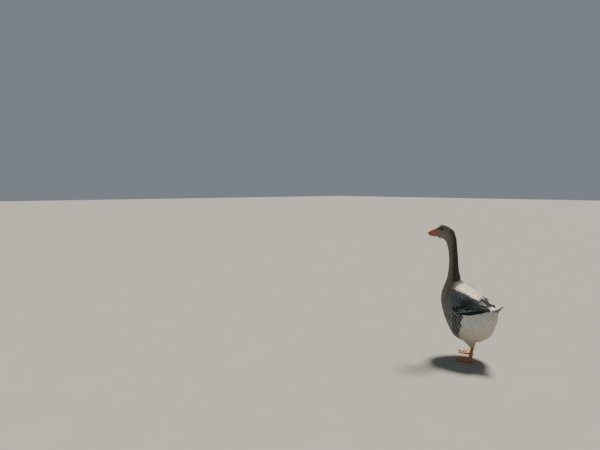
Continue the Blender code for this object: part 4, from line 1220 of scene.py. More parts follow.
def flank_vanes():
    """Files of barred feathers on the left flank."""
    vanes = []
    for row in range(-12, 13):
        for file in range(-12, 13):
            jitter = chance.normal(0, 1, 4)
            tip = FLANK_MIDDLE + FLANK_WAY * (FLANK_STEP * row + 0.0012 * jitter[0])
            tip += FLANK_ACROSS * (FLANK_FILE * file + 0.0008 * jitter[1])
            tip_x = tip.x - MOVE[0]
            border = np.interp(tip.z, *zip(*WHITE_BORDER))
            if not (FLANK_FRONT - 0.004 < tip_x < border + 0.004 and 0.158 < tip.z < 0.318):
                continue
            root = tip - FLANK_WAY * FLANK_LENGTH
            place, normal = skin_ground.struck(Vector((root.x, -0.5, root.z)), Vector((0, 1, 0)))
            line, normals = walk(skin_ground, place, normal, FLANK_WAY, FLANK_LENGTH, wing_shares, 0.2)
            fading = 1 - 0.6 * ease(tip_x - border, -0.006, 0.004)
            strength = float(ease(tip_x, FLANK_FRONT - 0.004, -0.050) * fading)
            edge = PLAIN_EDGE + (FLANK_EDGE - PLAIN_EDGE) * strength
            dark = BREAST + (FLANK - BREAST) * strength
            lift = -ROOT_DEPTH + 0.0052 * wing_raised**0.6
            width, roll = FLANK_WIDTH * (1 + 0.05 * jitter[2]), -1.5 + jitter[3]
            vanes.append(vane(line, normals, lift, width, FLANK_LENGTH, roll, dark, edge, 0.24, 1.0, 0.66))
    return vanes


for side_name, mirrored in (("left", False), ("right", True)):
    build_vanes("flank_" + side_name + "_vanes", flank_vanes(), mirrored, small_feathers)

# %% [markdown]
# ## The folded wings
# A folded wing is a stack of tiers: flight feathers at the bottom, then greater, median and lesser coverts,
# with the long tertials and the scapulars over the shoulder. Every tier is a row of vanes that overlap like
# tiles, and all of them run together towards the rump. The lesser coverts keep step from file to file, so
# their pale ends make slanting bars. The tertials are umber, with a pale lilac-grey strip below them.
# Under them lies a pad for the arm, of which at most the edge shows.

# %% Wing measures
WING_DEPTH, WING_RIM, PAD_THICKNESS = 0.0095, 0.0028, 0.006
AIM = Vector((0.178, -0.030, 0.345)) + Vector(MOVE)


def wing_spot(x, angle):
    """Place and normal on the coat's surface at a wing place, on the bird's left."""
    way = Vector((0, -math.cos(math.radians(angle)), math.sin(math.radians(angle))))
    return coat_ground.struck(Vector((x + MOVE[0], 0, AXIS_HEIGHT)), way)


def wing_height(point):
    """How far the folded wing stands out over the trunk."""
    x = point.x - MOVE[0]
    angle = math.degrees(math.atan2(point.z - AXIS_HEIGHT, -point.y))
    low, high = between(WING_LOW, x)[1], between(WING_HIGH, x)[1]
    over = min(max((angle - low) / (high - low), 0.0), 1.0)
    along = min(max((x - WING_FRONT) / (WING_BACK - WING_FRONT), 0.0), 1.0)
    full = math.sqrt(max(0.0, 1 - (2 * over - 1) ** 4))
    full *= min(1.0, along / 0.18) ** 0.5 * min(1.0, (1 - along) / 0.30) ** 0.5
    return WING_RIM + (WING_DEPTH - WING_RIM) * full


def wing_pad():
    """The arm of the left wing, a thin pad that lies under the vanes."""
    bm = bmesh.new()
    bmesh.ops.create_grid(bm, x_segments=30, y_segments=18, size=0.5)
    for vert in bm.verts:
        x = WING_FRONT + 0.012 + (WING_BACK - WING_FRONT - 0.022) * (vert.co.x + 0.5)
        low, high = between(WING_LOW, x)[1] + 4, between(WING_HIGH, x)[1] - 9
        place, normal = wing_spot(x, low + (high - low) * (vert.co.y + 0.5))
        vert.co = place + normal * (wing_height(place) * min(1.0, (x - WING_FRONT) / 0.040) - PAD_THICKNESS)
    bmesh.ops.solidify(bm, geom=bm.verts[:] + bm.edges[:] + bm.faces[:], thickness=PAD_THICKNESS)
    return piece_from("wing_pad_left", bm)


print("the wing is %.0f mm long" % ((WING_BACK - WING_FRONT) * 1000))

# %% Wing tiers
# name, count, first and last place (x, angle), first and last length, width, roll, step up,
# base, edge, rim, tip tone
WING_TIERS = (
    ("primaries", 5, (0.056, 8.0), (0.070, 27.0), 0.097, 0.092, 0.021, -5.0, -0.0012,
     SLATE * 0.6, SLATE * 2.2, 0.12, 0.8),
    ("secondaries", 9, (-0.058, -5.5), (0.052, 1.5), 0.070, 0.088, 0.024, -5.0, -0.0006,
     SLATE * 0.7, SLATE * 2.4, 0.12, 0.8),
    ("greater_coverts", 12, (-0.048, -1.5), (0.052, 11.5), 0.050, 0.060, 0.022, -7.0, 0.0000,
     SLATE, SLATE_EDGE * 2.2, 0.26, 0.85),
    ("middle_secondaries", 8, (-0.020, 6.0), (0.056, 18.5), 0.062, 0.078, 0.020, -7.0, 0.0001,
     SLATE * 0.9, SLATE_EDGE * 0.5, 0.20, 0.8),
    ("median_coverts", 12, (-0.052, 3.5), (0.050, 25.5), 0.044, 0.054, 0.021, -7.0, 0.0002,
     SLATE, SLATE_EDGE, 0.24, 0.8),
    ("low_lesser_coverts", 11, (-0.048, 9.0), (0.050, 32.5), 0.038, 0.050, 0.021, -7.0, 0.0003,
     SLATE, SLATE_EDGE * 0.6, 0.20, 0.8),
    ("tertials", 4, (0.022, 63.0), (0.036, 73.0), 0.090, 0.080, 0.026, -5.0, 0.0006,
     UMBER, UMBER * 2.4, 0.10, 0.9),
    # The tongue tertials' edges and the scapulars take the saddle's colours, which carry painted sunlight.
    ("tongue_tertials", 3, (0.030, 44.0), (0.034, 54.0), 0.088, 0.086, 0.021, -5.0, 0.0005,
     LILAC, SADDLE_PALE_AND_PAINTED_SUN * 0.7, 0.30, 0.45),
    ("outer_scapulars", 12, (-0.078, 61.0), (0.018, 58.0), 0.040, 0.054, 0.024, -6.0, 0.0006,
     SADDLE_CORE_AND_PAINTED_SUN, SADDLE_PALE_AND_PAINTED_SUN, 0.45, 1.0),
    ("inner_scapulars", 10, (-0.070, 71.0), (0.008, 69.0), 0.038, 0.050, 0.025, -5.0, 0.0006,
     SADDLE_CORE_AND_PAINTED_SUN, SADDLE_PALE_AND_PAINTED_SUN, 0.50, 1.0),
)


def wing_vane(x, angle, long, width, roll, step, *colours, low=0.0):
    """One vane of the left wing. low turns its aim down by some metres."""
    start, normal = wing_spot(x, angle)
    way = (AIM - UP * low - start).normalized()
    line, normals = walk(coat_ground, start, normal, way, long, wing_shares, 0.55)
    step -= 0.0018 * float(ease(angle, 56, 72))
    sink = 0.0045 * (1 - float(ease(x, -0.105, -0.045)))
    lift = []
    for point, s in zip(line, wing_shares):
        lift.append(wing_height(point) - 0.0058 + 0.0034 * s**0.8 + step - sink * (1 - s) ** 1.5)
    return vane(line, normals, lift, width, long, roll, *colours)


print("tiers:", ", ".join(tier[0] for tier in WING_TIERS))

# %% Lesser coverts
LATTICE_STEP, LATTICE_FILES = 0.0142, tuple(6.8 + 4.4 * i for i in range(12))
LILAC_GREY = np.array((0.300, 0.300, 0.325))
# angle, x of the front edge
LESSER_FRONT = ((19.0, -0.083), (30.0, -0.091), (40.0, -0.096), (56.0, -0.092))


def lesser_coverts():
    """Files of small coverts above the long lines, in step with one another."""
    vanes = []
    for angle in LATTICE_FILES:
        for i in range(-6, 16):
            jitter = chance.normal(0, 1, 3)
            x = -0.108 + LATTICE_STEP * i + (angle - 20.0) * 0.0015 + 0.0007 * jitter[0]
            below = angle < 20.0 + 218.0 * (x + 0.0179)
            above = angle > between(WING_HIGH, x + 0.030)[1] - 5
            before = x + 0.028 < np.interp(angle, *zip(*LESSER_FRONT))
            if below or above or before or x > 0.050:
                continue
            high = float(ease(angle, 26.0, 44.0) * (1 - ease(x, -0.060, -0.010)))
            bar = SLATE_EDGE * (2.2 - 2.05 * float(ease(x, -0.070, 0.010)))
            bar = bar + (LILAC_GREY * 1.6 - bar) * high
            long, width = 0.028 + 0.012 * float(ease(x, -0.04, 0.05)), 0.0200 + 0.0006 * jitter[2]
            rim = 0.27 - 0.07 * float(ease(x, -0.04, 0.03))
            vanes.append(wing_vane(x, angle + 0.3 * jitter[1], long, width, -5.0, 0.0002, SLATE * 0.8, bar,
                                   rim, 0.8, 0.66))
    return vanes


# %% Vanes of one wing
def wing_vanes(right_wing):
    """All vanes of one wing. On the right wing a flag widens the tertials' pale edges, with painted sunlight.
    """
    vanes = []
    for name, count, first, last, long_first, long_last, width, roll, step, *colours in WING_TIERS:
        base, edge, rim, tip = colours
        dark_tier = "coverts" in name or "secondaries" in name
        low = 0.022 if right_wing and dark_tier else 0.0
        if right_wing and name == "primaries":
            long_first, long_last = long_first * 0.82, long_last * 0.80
        # Right wing: the tertials and tongue tertials take the saddle's pale colours, with painted sunlight.
        if right_wing and name == "tertials":
            base, edge, rim = UMBER * 3.0, SADDLE_PALE_AND_PAINTED_SUN, 0.34
        if right_wing and name == "tongue_tertials":
            base, edge, rim = SADDLE_CORE_AND_PAINTED_SUN * 0.7, SADDLE_PALE_AND_PAINTED_SUN, 0.60
            long_first, long_last = long_first * 1.10, long_last * 1.10
        for i in range(count):
            t = i / (count - 1)
            jitter = chance.normal(0, 1, 4)
            x = first[0] + (last[0] - first[0]) * t + 0.0010 * jitter[0]
            angle = first[1] + (last[1] - first[1]) * t + 0.35 * jitter[1]
            long = (long_first + (long_last - long_first) * t) * (1 + 0.02 * jitter[2])
            rear = 1 - 0.80 * float(ease(x, -0.005, 0.045)) if dark_tier else 1.0
            one_width, one_roll = width * (1 + 0.03 * jitter[3]), roll + 0.8 * jitter[0]
            vanes.append(wing_vane(x, angle, long, one_width, one_roll, step, base, edge * rear, rim,
                                   0.35, 0.15, tip, low=low))
    return vanes + lesser_coverts()


# %% Breast feathers over the wing's front edge
# share of the way down, x, angle
FRONT_EDGE = (
    (0.0, -0.086, 60.0),
    (0.15, -0.094, 50.0),
    (0.3, -0.096, 40.0),
    (0.45, -0.091, 30.0),
    (0.6, -0.083, 19.0),
    (0.75, -0.068, 8.0),
    (0.88, -0.046, -3.0),
    (1.0, -0.018, -11.0),
)
EDGE_PAIRS, EDGE_LENGTH, EDGE_WIDTH = 22, 0.033, 0.021
BARRED_EDGES, PLAIN_EDGES = (FLANK_EDGE * 0.95, BREAST * 1.25), (BREAST * 1.7, BREAST * 1.3)


def edge_vanes():
    """Breast feathers that lie over the front edge of the wing with their pale ends."""
    vanes = []
    for i in range(2 * EDGE_PAIRS):
        second = i % 2
        jitter = chance.normal(0, 1, 3)
        _, x, angle = between(FRONT_EDGE, (i // 2) / (EDGE_PAIRS - 1))
        tip, _ = wing_spot(x - 0.011 * second + 0.0015 * jitter[0], angle + 2.5 * second)
        slope = 0.15 + 0.55 * float(ease(-angle, -45.0, -5.0))
        way = Vector((0.80, 0.0, -slope))
        root, normal = skin_ground.nearest(tip - way * 0.030)
        start = coat_ground.nearest(root)[0]
        line, normals = walk(coat_ground, start, normal, way, EDGE_LENGTH, wing_shares, 0.3)
        high = 0.0072 + 0.0018 * float(ease(angle, 0.0, 25.0)) - 0.0015 * second
        lift = [-0.0047 + high * s for s in wing_raised]
        edge = (BARRED_EDGES if angle < 36 else PLAIN_EDGES)[second]
        vanes.append(vane(line, normals, lift, EDGE_WIDTH, EDGE_LENGTH, -1.0 + jitter[1], BREAST * 0.75, edge,
                          0.24, 1.0, 0.64))
    return vanes


# %% Both wings
left_pad = wing_pad()
right_pad = mirrored_copy(left_pad, "wing_pad_right")
for side_name, mirrored, pad in (("left", False, left_pad), ("right", True, right_pad)):
    made = build_vanes("wing_" + side_name + "_vanes", wing_vanes(mirrored), mirrored, firm_feathers)
    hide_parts("wing_" + side_name)
    build_vanes("wing_" + side_name + "_edge_vanes", edge_vanes(), mirrored, small_feathers)
    pad_points = np.array([tuple(v.co) for v in pad.data.vertices])
    # The pad's upper part takes the saddle's core colour, which carries painted sunlight; its lower part is
    # dark slate.
    low_part = 1 - ease(wing_angle(pad_points), 48, 58)
    write_colours(pad.data, mix(np.broadcast_to(SADDLE_CORE_AND_PAINTED_SUN, pad_points.shape), SLATE * 0.8, low_part))
    pad.data.materials.clear()
    pad.data.materials.append(down)
    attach(pad, "root")

# %% [markdown]
# ## The tail
# Sixteen tail feathers make a short fan, the middle pair on top. Rows of white coverts close the step to the
# rump above and to the vent below. Rings of small white coverts lie round the root, so no gap shows there.

# %% Make the tail
TAIL_GREY = np.array((0.620, 0.590, 0.540))
# count, spread, start, top, step down, length, width, slope, curl, base and edge colour, rim width
TAIL_ROWS = (
    (16, 33.0, 0.012, 0.0045, 0.0006, 0.0497, 0.018, -0.002, 0.0105, TAIL_GREY, WHITE, 0.60),
    (9, 22.0, 0.004, 0.0112, 0.0007, 0.036, 0.021, -0.005, 0.005, WHITE * 0.95, WHITE, 0.3),
    (9, 24.0, -0.012, 0.0175, 0.0009, 0.038, 0.024, -0.008, 0.003, WHITE * 0.92, WHITE, 0.3),
    (9, 25.0, 0.010, -0.0060, -0.0005, 0.042, 0.024, 0.003, 0.007, WHITE, WHITE, 0.3),
    (9, 25.0, 0.000, -0.0125, -0.0007, 0.044, 0.025, 0.006, 0.004, WHITE, WHITE, 0.3),
    (9, 26.0, -0.014, -0.0195, -0.0008, 0.044, 0.026, 0.008, 0.004, WHITE, WHITE, 0.3),
)
# count, start, half width, half height, length, width of rings of coverts round the root of the tail
TAIL_RINGS = (
    (36, -0.026, 0.0415, 0.0285, 0.026, 0.0150),
    (34, -0.017, 0.0400, 0.0265, 0.025, 0.0145),
    (32, -0.008, 0.0385, 0.0240, 0.024, 0.0140),
    (28, 0.001, 0.0350, 0.0205, 0.023, 0.0135),
)


def tail_fan():
    """The tail feathers and the rows of coverts above and below them."""
    vanes = []
    for count, spread, out, top, step, long, width, slope, curl, base, edge, rim in TAIL_ROWS:
        middle = (count - 1) / 2
        for i in range(count):
            side = (i - middle) / middle
            rank = abs(i - middle) + (0.25 if i < middle else 0)
            turn = math.radians(side * spread + chance.normal(0, 0.8))
            ahead = TAIL_ALONG * math.cos(turn) + Vector((0, -math.sin(turn), 0))
            root = TAIL_ROOT + TAIL_ALONG * out + TAIL_UP * (top - step * rank)
            root = root + Vector((0, -math.sin(turn) * 0.030, 0))
            reach = long * (1 - 0.10 * side * side) * (1 - 0.02 * abs(chance.normal()))
            line = [root + ahead * (s * reach) + TAIL_UP * (slope * s + curl * s * s) for s in wing_shares]
            normals, lift = [TAIL_UP] * len(line), np.zeros(len(line))
            vanes.append(vane(line, normals, lift, width, reach, 0.0, base, edge, rim, 1.0))
    return vanes


def tail_rings():
    """Rings of small coverts round the root of the tail."""
    vanes = []
    for row, (count, out, wide, high, long, width) in enumerate(TAIL_RINGS):
        for i in range(count):
            around = 2 * math.pi * (i + 0.5 * (row % 2) + 0.1 * chance.normal()) / count
            guess = TAIL_ROOT + TAIL_ALONG * out + TAIL_UP * (high * math.sin(around))
            guess = guess + Vector((0, wide * math.cos(around), 0))
            place, normal = skin_ground.nearest(guess)
            line, normals = walk(skin_ground, place, normal, TAIL_ALONG, long, wing_shares, 0.2)
            lift, roll = -ROOT_DEPTH + (0.0036 - 0.0005 * row) * wing_raised**0.7, chance.normal()
            vanes.append(vane(line, normals, lift, width, long, roll, WHITE * 0.98, WHITE * 1.04, 0.3, 1.0))
    return vanes


made = build_vanes("tail_vanes", tail_fan() + tail_rings(), False, firm_feathers, 0.05)
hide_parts("tail")

# %% [markdown]
# ## Horn, scales and eyes
# These finishes are built from noise and cell patterns on Object coordinates. The same pattern makes the
# relief, so colour and relief agree.

# %% Horn and scale materials
def surface(name, dark, light, roughness, pattern, scale, depth, coat=0.0):
    """A two-tone finish whose cells or noise also make its relief."""
    made, tree, shader = new_material(name)
    link = tree.links.new
    place = node(tree, "ShaderNodeTexCoord")
    spread = node(tree, "ShaderNodeMapping")
    spread.inputs["Scale"].default_value = scale
    link(place.outputs["Object"], spread.inputs["Vector"])
    if pattern == "cells":
        cells = node(tree, "ShaderNodeTexVoronoi", feature="DISTANCE_TO_EDGE")
        height, limits = cells.outputs["Distance"], (0.0, 0.16)
    else:
        cells = node(tree, "ShaderNodeTexNoise")
        cells.inputs["Detail"].default_value = 6.0
        height, limits = cells.outputs["Fac"], (0.32, 0.68)
    cells.inputs["Scale"].default_value = 1.0
    link(spread.outputs["Vector"], cells.inputs["Vector"])
    level = ranged(tree, height, limits, (0.0, 1.0))
    share = maths(tree, "MULTIPLY", level, noise(tree, 120.0, 5.0))
    link(two_tones(tree, share, dark, light, 0.55), shader.inputs["Base Color"])
    add_bump(tree, shader, level, 0.7, depth)
    set_values(shader, {"Roughness": roughness, "Coat Weight": coat, "Coat Roughness": 0.25})
    print("finish", name, "with", len(tree.nodes), "nodes")
    return made


bill_horn = surface("bill_horn", (0.29, 0.085, 0.036), (0.48, 0.150, 0.062), 0.42, "noise",
                    (260, 260, 260), 0.00022, 0.12)
nail_horn = surface("nail_horn", (0.44, 0.30, 0.23), (0.64, 0.50, 0.40), 0.34, "noise",
                    (300, 300, 300), 0.0002, 0.2)
mouth_edge = surface("mouth_edge", (0.05, 0.035, 0.03), (0.22, 0.16, 0.13), 0.5, "noise",
                     (400, 400, 400), 0.0002)
shank_scales = surface("shank_scales", (0.30, 0.100, 0.040), (0.62, 0.230, 0.080), 0.52, "cells",
                       (260, 260, 330), 0.0006)
web_skin = surface("web_skin", (0.34, 0.115, 0.042), (0.60, 0.220, 0.075), 0.58, "cells",
                   (420, 420, 420), 0.0004)
claw_horn = surface("claw_horn", (0.10, 0.075, 0.06), (0.36, 0.28, 0.22), 0.35, "noise",
                    (500, 500, 120), 0.0002, 0.2)
lid_skin = surface("lid_skin", (0.060, 0.034, 0.024), (0.150, 0.080, 0.050), 0.65, "noise",
                   (900, 900, 900), 0.0002)

# %% [markdown]
# ## The bill
# A goose's bill is a deep wedge, high at the forehead, with a hard nail at the tip and a row of fine ridges
# along its edge. Each half is a wrapped grid: most of the way round it follows the outside, the rest of the
# way the mouth. Nostrils are pressed in as smooth dents.

# %% Shape the bill
# nostril: along, up, half width of its place and half sizes along, up, across
NOSTRIL_ALONG, NOSTRIL_UP, NOSTRIL_OUT = 0.42, 0.0075, 0.0128
NOSTRIL_SIZES = (0.0052, 0.0023, 0.006)
OUTSIDE_SHARE, LOWER_REACH, TIP_FROM = 0.72, 0.955, 0.90


def nostril_move(point):
    """How far a point near a nostril moves inwards: a slit with a slight rim round it."""
    move = Vector((0, 0, 0))
    middle = bill_base + bill_along * BILL_LENGTH * NOSTRIL_ALONG + bill_up * NOSTRIL_UP
    for side in (1, -1):
        away = point - (middle + bill_left * side * NOSTRIL_OUT)
        shares = [away.dot(way) / size for way, size in zip((bill_along, bill_up, bill_left), NOSTRIL_SIZES)]
        far = math.sqrt(sum(share**2 for share in shares))
        if far < 1.6:
            rim = 0.0005 * math.exp(-((far - 1.2) ** 2) / 0.05)
            move -= bill_left * side * (0.0022 * max(0.0, 1 - far**2) - rim)
    return move


def bill_place(upper):
    """Points of one half of the bill."""
    shorter = 1.0 if upper else LOWER_REACH
    reach = BILL_LENGTH * shorter
    gap, palate = (0.0002, 0.0016) if upper else (-0.0002, -0.0016)

    def place(u, v):
        share = min(1.0, math.sin(v * math.pi / 2) ** 0.9 if v > 0 else 0.0)
        _, top, under, half, mouth = between(BILL_ROWS, share * shorter)
        if not upper:
            _, _, under, half, _ = between(BILL_ROWS, share)
            half *= 0.90
        flat = mouth + gap
        close = math.sqrt(max(0.0, 1 - ((share - TIP_FROM) / 0.10) ** 2)) if share > TIP_FROM else 1.0
        half *= max(close, 0.05)
        edge = flat + ((top if upper else under) - flat) * max(close, 0.06)
        if u < OUTSIDE_SHARE:
            angle = math.pi * u / OUTSIDE_SHARE
            c, s = math.cos(angle), math.sin(angle)
            side, height = half * math.copysign(abs(c) ** 0.87, c), flat + (edge - flat) * s**0.87
        else:
            t = (u - OUTSIDE_SHARE) / (1 - OUTSIDE_SHARE)
            side, height = -half + 2 * half * t, flat + palate * math.sin(math.pi * t)
        point = bill_base + bill_along * (share * reach) + bill_left * side + bill_up * height
        if upper:
            point += nostril_move(point)
            swell = float(ease(share, 0.80, 0.88)) * 0.0009 * max(0.0, 1 - (side / max(half, 1e-5)) ** 2)
            point += bill_up * swell
        return point

    return place


# %% Make the bill
for label, half_bill in (("bill_upper", wrapped("bill_upper_horn", 96, 70, bill_place(True))),
                         ("bill_lower", wrapped("bill_lower_horn", 96, 60, bill_place(False)))):
    half_bill.data.materials.append(bill_horn)
    half_bill.data.materials.append(nail_horn)
    for face in half_bill.data.polygons:
        out = (face.center - bill_base).dot(bill_along) / BILL_LENGTH
        side = abs((face.center - bill_base).dot(bill_left))
        face.material_index = 1 if out > 0.85 + 0.07 * (side / 0.009) ** 2 and side < 0.0085 else 0
    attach(half_bill, "root")
    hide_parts(label)
    print(label, "faces", len(half_bill.data.polygons))


# %% Ridges of the mouth
def mouth_ridges():
    """Small upright ridges along both edges of the mouth, as joined cones."""
    bm = bmesh.new()
    for side in (1, -1):
        for i in range(30):
            share = 0.10 + 0.68 * i / 29
            _, _, _, half, mouth = between(BILL_ROWS, share)
            spot = bill_base + bill_along * BILL_LENGTH * share + bill_left * side * half * 0.955
            spot = spot + bill_up * (mouth - 0.0001)
            turn = Matrix((bill_along, bill_left * side, bill_up)).transposed().to_4x4()
            bmesh.ops.create_cone(bm, cap_ends=True, segments=6, radius1=0.00052, radius2=0.00030,
                                  depth=0.0018, matrix=Matrix.Translation(spot) @ turn)
    return piece_from("mouth_ridges", bm)


ridges = mouth_ridges()
ridges.data.materials.append(mouth_edge)
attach(ridges, "root")
print("mouth ridges: faces", len(ridges.data.polygons))

# %% [markdown]
# ## The eyes and lids
# The eye is a wet brown ball with a black pupil that sits deep in its socket.
# Two bare lids close round it in a slight almond. They are one ring that hugs the ball: its rows are angles
# from the line of sight, and its outer rows dive under the feathers.

# %% Finish of the eye
# closeness to the line of sight, colour
IRIS_STOPS = (
    (0.0, (0.10, 0.06, 0.05)),
    (0.66, (0.010, 0.006, 0.005)),
    (0.74, (0.026, 0.012, 0.007)),
    (0.83, (0.040, 0.018, 0.009)),
    (0.87, (0.002, 0.002, 0.002)),
)


def eye_finish(name, centre, out):
    """Brown iris and round pupil, painted by the angle from the sight line."""
    made, tree, shader = new_material(name)
    place = node(tree, "ShaderNodeTexCoord")
    middle = node(tree, "ShaderNodeVectorMath", operation="SUBTRACT")
    middle.inputs[1].default_value = centre
    tree.links.new(place.outputs["Object"], middle.inputs[0])
    straight = node(tree, "ShaderNodeVectorMath", operation="NORMALIZE")
    tree.links.new(middle.outputs[0], straight.inputs[0])
    look = node(tree, "ShaderNodeVectorMath", operation="DOT_PRODUCT")
    look.inputs[1].default_value = out
    tree.links.new(straight.outputs[0], look.inputs[0])
    ramp = node(tree, "ShaderNodeValToRGB")
    for element, (at, colour) in zip(ramp.color_ramp.elements, (IRIS_STOPS[0], IRIS_STOPS[-1])):
        element.position, element.color = at, (*colour, 1)
    for at, colour in IRIS_STOPS[1:-1]:
        ramp.color_ramp.elements.new(at).color = (*colour, 1)
    tree.links.new(look.outputs["Value"], ramp.inputs["Fac"])
    tree.links.new(ramp.outputs["Color"], shader.inputs["Base Color"])
    set_values(shader, {"Roughness": 0.05})
    return made


# %% Eyes
# share, angle from the line of sight, distance in radii
LID_ROWS = ((0.0, 50.0, 1.010), (0.22, 51.5, 1.035), (0.50, 54.5, 1.055), (0.78, 59.0, 1.030),
            (1.0, 69.0, 0.930))
LID_THICKNESS = 0.0004


def lid_place(centre, radius, out, back_way, lift, u, v):
    """A point of the lids: share of the way round the eye and outwards."""
    angle = 2 * math.pi * u
    _, polar, far = between(LID_ROWS, v)
    almond = 0.92 + 0.16 * abs(math.cos(angle)) ** 3 - 0.06 * max(math.sin(angle), 0.0)
    polar = math.radians(polar * almond)
    spoke = back_way * math.cos(angle) + lift * math.sin(angle)
    return centre + (out * math.cos(polar) + spoke * math.sin(polar)) * radius * far


def eye_ball(label, centre, radius, out):
    """The wet ball, with its pole on the line of sight."""
    bm = bmesh.new()
    bmesh.ops.create_uvsphere(bm, u_segments=40, v_segments=28, radius=radius)
    turn = out.to_track_quat("Z", "Y").to_matrix().to_4x4()
    bmesh.ops.transform(bm, matrix=Matrix.Translation(centre) @ turn, verts=bm.verts)
    return piece_from(label + "_ball", bm)


def eye_lids(label, centre, radius, out):
    """Both lids as one thin ring."""
    lift = (UP - out * UP.dot(out)).normalized()
    back_way = (ahead - out * ahead.dot(out)).normalized()
    bm = bmesh.new()
    bmesh.ops.create_grid(bm, x_segments=48, y_segments=12, size=0.5)
    for vert in bm.verts:
        u = vert.co.x + 0.5
        vert.co = lid_place(centre, radius, out, back_way, lift, u if u < 0.9999 else 0.0, vert.co.y + 0.5)
    bmesh.ops.remove_doubles(bm, verts=bm.verts, dist=1e-7)
    bmesh.ops.recalc_face_normals(bm, faces=bm.faces)
    bmesh.ops.solidify(bm, geom=bm.verts[:] + bm.edges[:] + bm.faces[:], thickness=LID_THICKNESS)
    return piece_from(label + "_lids", bm)


for label, (centre, radius) in eyes.items():
    side = 1 if label == "eye_left" else -1
    out = (bill_left * side + ahead * 0.12 + UP * 0.04).normalized()
    ball = eye_ball(label, centre, radius, out)
    ball.data.materials.append(eye_finish(label + "_iris", centre, out))
    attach(ball, "root")
    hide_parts(label)
    lids = eye_lids(label, centre, radius, out)
    lids.data.materials.append(lid_skin)
    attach(lids, "root")
    print(label, "looks along", tuple(round(value, 2) for value in out))

# %% [markdown]
# ## Legs and webbed feet
# The shank is bare and scaly with a thick hock. Three toes spread forward with webs between them, and each
# ends in a short blunt claw. A small hind toe without one sits above the heel.

# %% Shanks and toes
# degrees from straight ahead, length
TOES = ((-24.0, 0.068), (4.0, 0.088), (30.0, 0.080))
TOE_JOINTS, TOE_RADIUS, CLAW_LENGTH = (0.30, 0.56, 0.80), 0.0058, 0.010
# share down the shank, fore-and-aft and sideways half size
SHANK = (
    (-0.12, 0.0090, 0.0082),
    (-0.02, 0.0106, 0.0094),
    (0.08, 0.0104, 0.0090),
    (0.20, 0.0084, 0.0070),
    (0.42, 0.0072, 0.0060),
    (0.70, 0.0070, 0.0060),
    (0.90, 0.0082, 0.0072),
    (1.06, 0.0090, 0.0082),
)
left_ankle = leg_points(1)[2]
heel = Vector((left_ankle.x, left_ankle.y, 0.0))


def toe_way(spread):
    """Level direction of a toe, some degrees from straight ahead."""
    angle = math.radians(spread)
    return Vector((-math.cos(angle), -math.sin(angle), 0.0))


def toe_place(direction, length):
    """Points of a toe with its joints, flat below and scaled above."""
    across = Vector((direction.y, -direction.x, 0))

    def place(u, v):
        swell = 1 + sum(0.16 * math.exp(-(((v - j) / 0.075) ** 2)) for j in TOE_JOINTS)
        round_end = math.sqrt(max(0.0, 1 - ((v - 0.93) / 0.07) ** 2)) if v > 0.93 else 1.0
        radius = max(TOE_RADIUS * swell * (1.08 - 0.42 * v) * round_end, 0.0008)
        tall = radius * (1.70 if v > 0.12 else 1.70 + (0.12 - v) * 8)
        angle = 2 * math.pi * u
        height = tall * (0.5 + 0.5 * math.sin(angle))
        scute = 0.00018 * math.sin(v * length / 0.0026 * 2 * math.pi) * max(0.0, math.sin(angle))
        height = max(height + scute, 0.0) if height > tall * 0.07 else 0.0
        return heel + direction * (v * length - 0.003) + across * radius * math.cos(angle) + UP * height

    return place


def claw_place(direction, length):
    """Points of the claw at the end of a toe."""
    across = Vector((direction.y, -direction.x, 0))

    def place(u, v):
        size = 0.0026 * (1 - v) ** 0.7 + 0.0004
        angle = 2 * math.pi * u
        out = length * 0.945 + CLAW_LENGTH * 1.12 * v
        middle = heel + direction * out + UP * (0.0046 - 0.0030 * v * v)
        height = max(size * math.sin(angle), -middle.z + 0.0002)
        return middle + across * size * 0.8 * math.cos(angle) + UP * height

    return place


print("toes mm", [round(length * 1000) for _, length in TOES], "claw mm", CLAW_LENGTH * 1000)


# %% Webs
WEB_THICKNESS = 0.0009


def make_web(first, first_length, second, second_length):
    """A thin web between two toes, with a hollow front edge and fine folds."""
    bm = bmesh.new()
    bmesh.ops.create_grid(bm, x_segments=24, y_segments=24, size=0.5)
    for vert in bm.verts:
        s, t = vert.co.x + 0.5, 0.08 + 0.92 * (vert.co.y + 0.5)
        way = (first * (1 - s) + second * s).normalized()
        length = first_length * (1 - s) + second_length * s
        reach = length * 0.93 * (1 - 0.17 * math.sin(math.pi * s) ** 1.2)
        sag = (0.0016 - 0.00035 * math.sin(s * 34) * t) * math.sin(math.pi * s)
        vert.co = heel + way * reach * t + UP * max(0.0044 * (1 - 0.35 * t) - sag, 0.0012)
    bmesh.ops.recalc_face_normals(bm, faces=bm.faces)
    bmesh.ops.solidify(bm, geom=bm.verts[:] + bm.edges[:] + bm.faces[:], thickness=-WEB_THICKNESS)
    return piece_from("web", bm)


def joined(name, parts):
    """One object from several pieces, each with its own finish."""
    bm = bmesh.new()
    made_mesh = bpy.data.meshes.new(name)
    titles = sorted({finish.name for _, finish in parts})
    for piece, finish in parts:
        start = len(bm.faces)
        bm.from_mesh(piece.data)
        bm.faces.ensure_lookup_table()
        for face in bm.faces[start:]:
            face.material_index = titles.index(finish.name)
            face.smooth = True
        bpy.data.objects.remove(piece)
    bm.to_mesh(made_mesh)
    bm.free()
    for title in titles:
        made_mesh.materials.append(bpy.data.materials[title])
    made = bpy.data.objects.new(name, made_mesh)
    bpy.context.scene.collection.objects.link(made)
    return made


# %% Make the feet
# share of the way back, height, half size
HIND_TOE = ((0.0, 0.0130, 0.0048), (0.4, 0.0100, 0.0042), (0.75, 0.0064, 0.0036), (0.93, 0.0046, 0.0022))
HIND_TOE_WAY, HIND_TOE_LENGTH = toe_way(190.0), 0.024
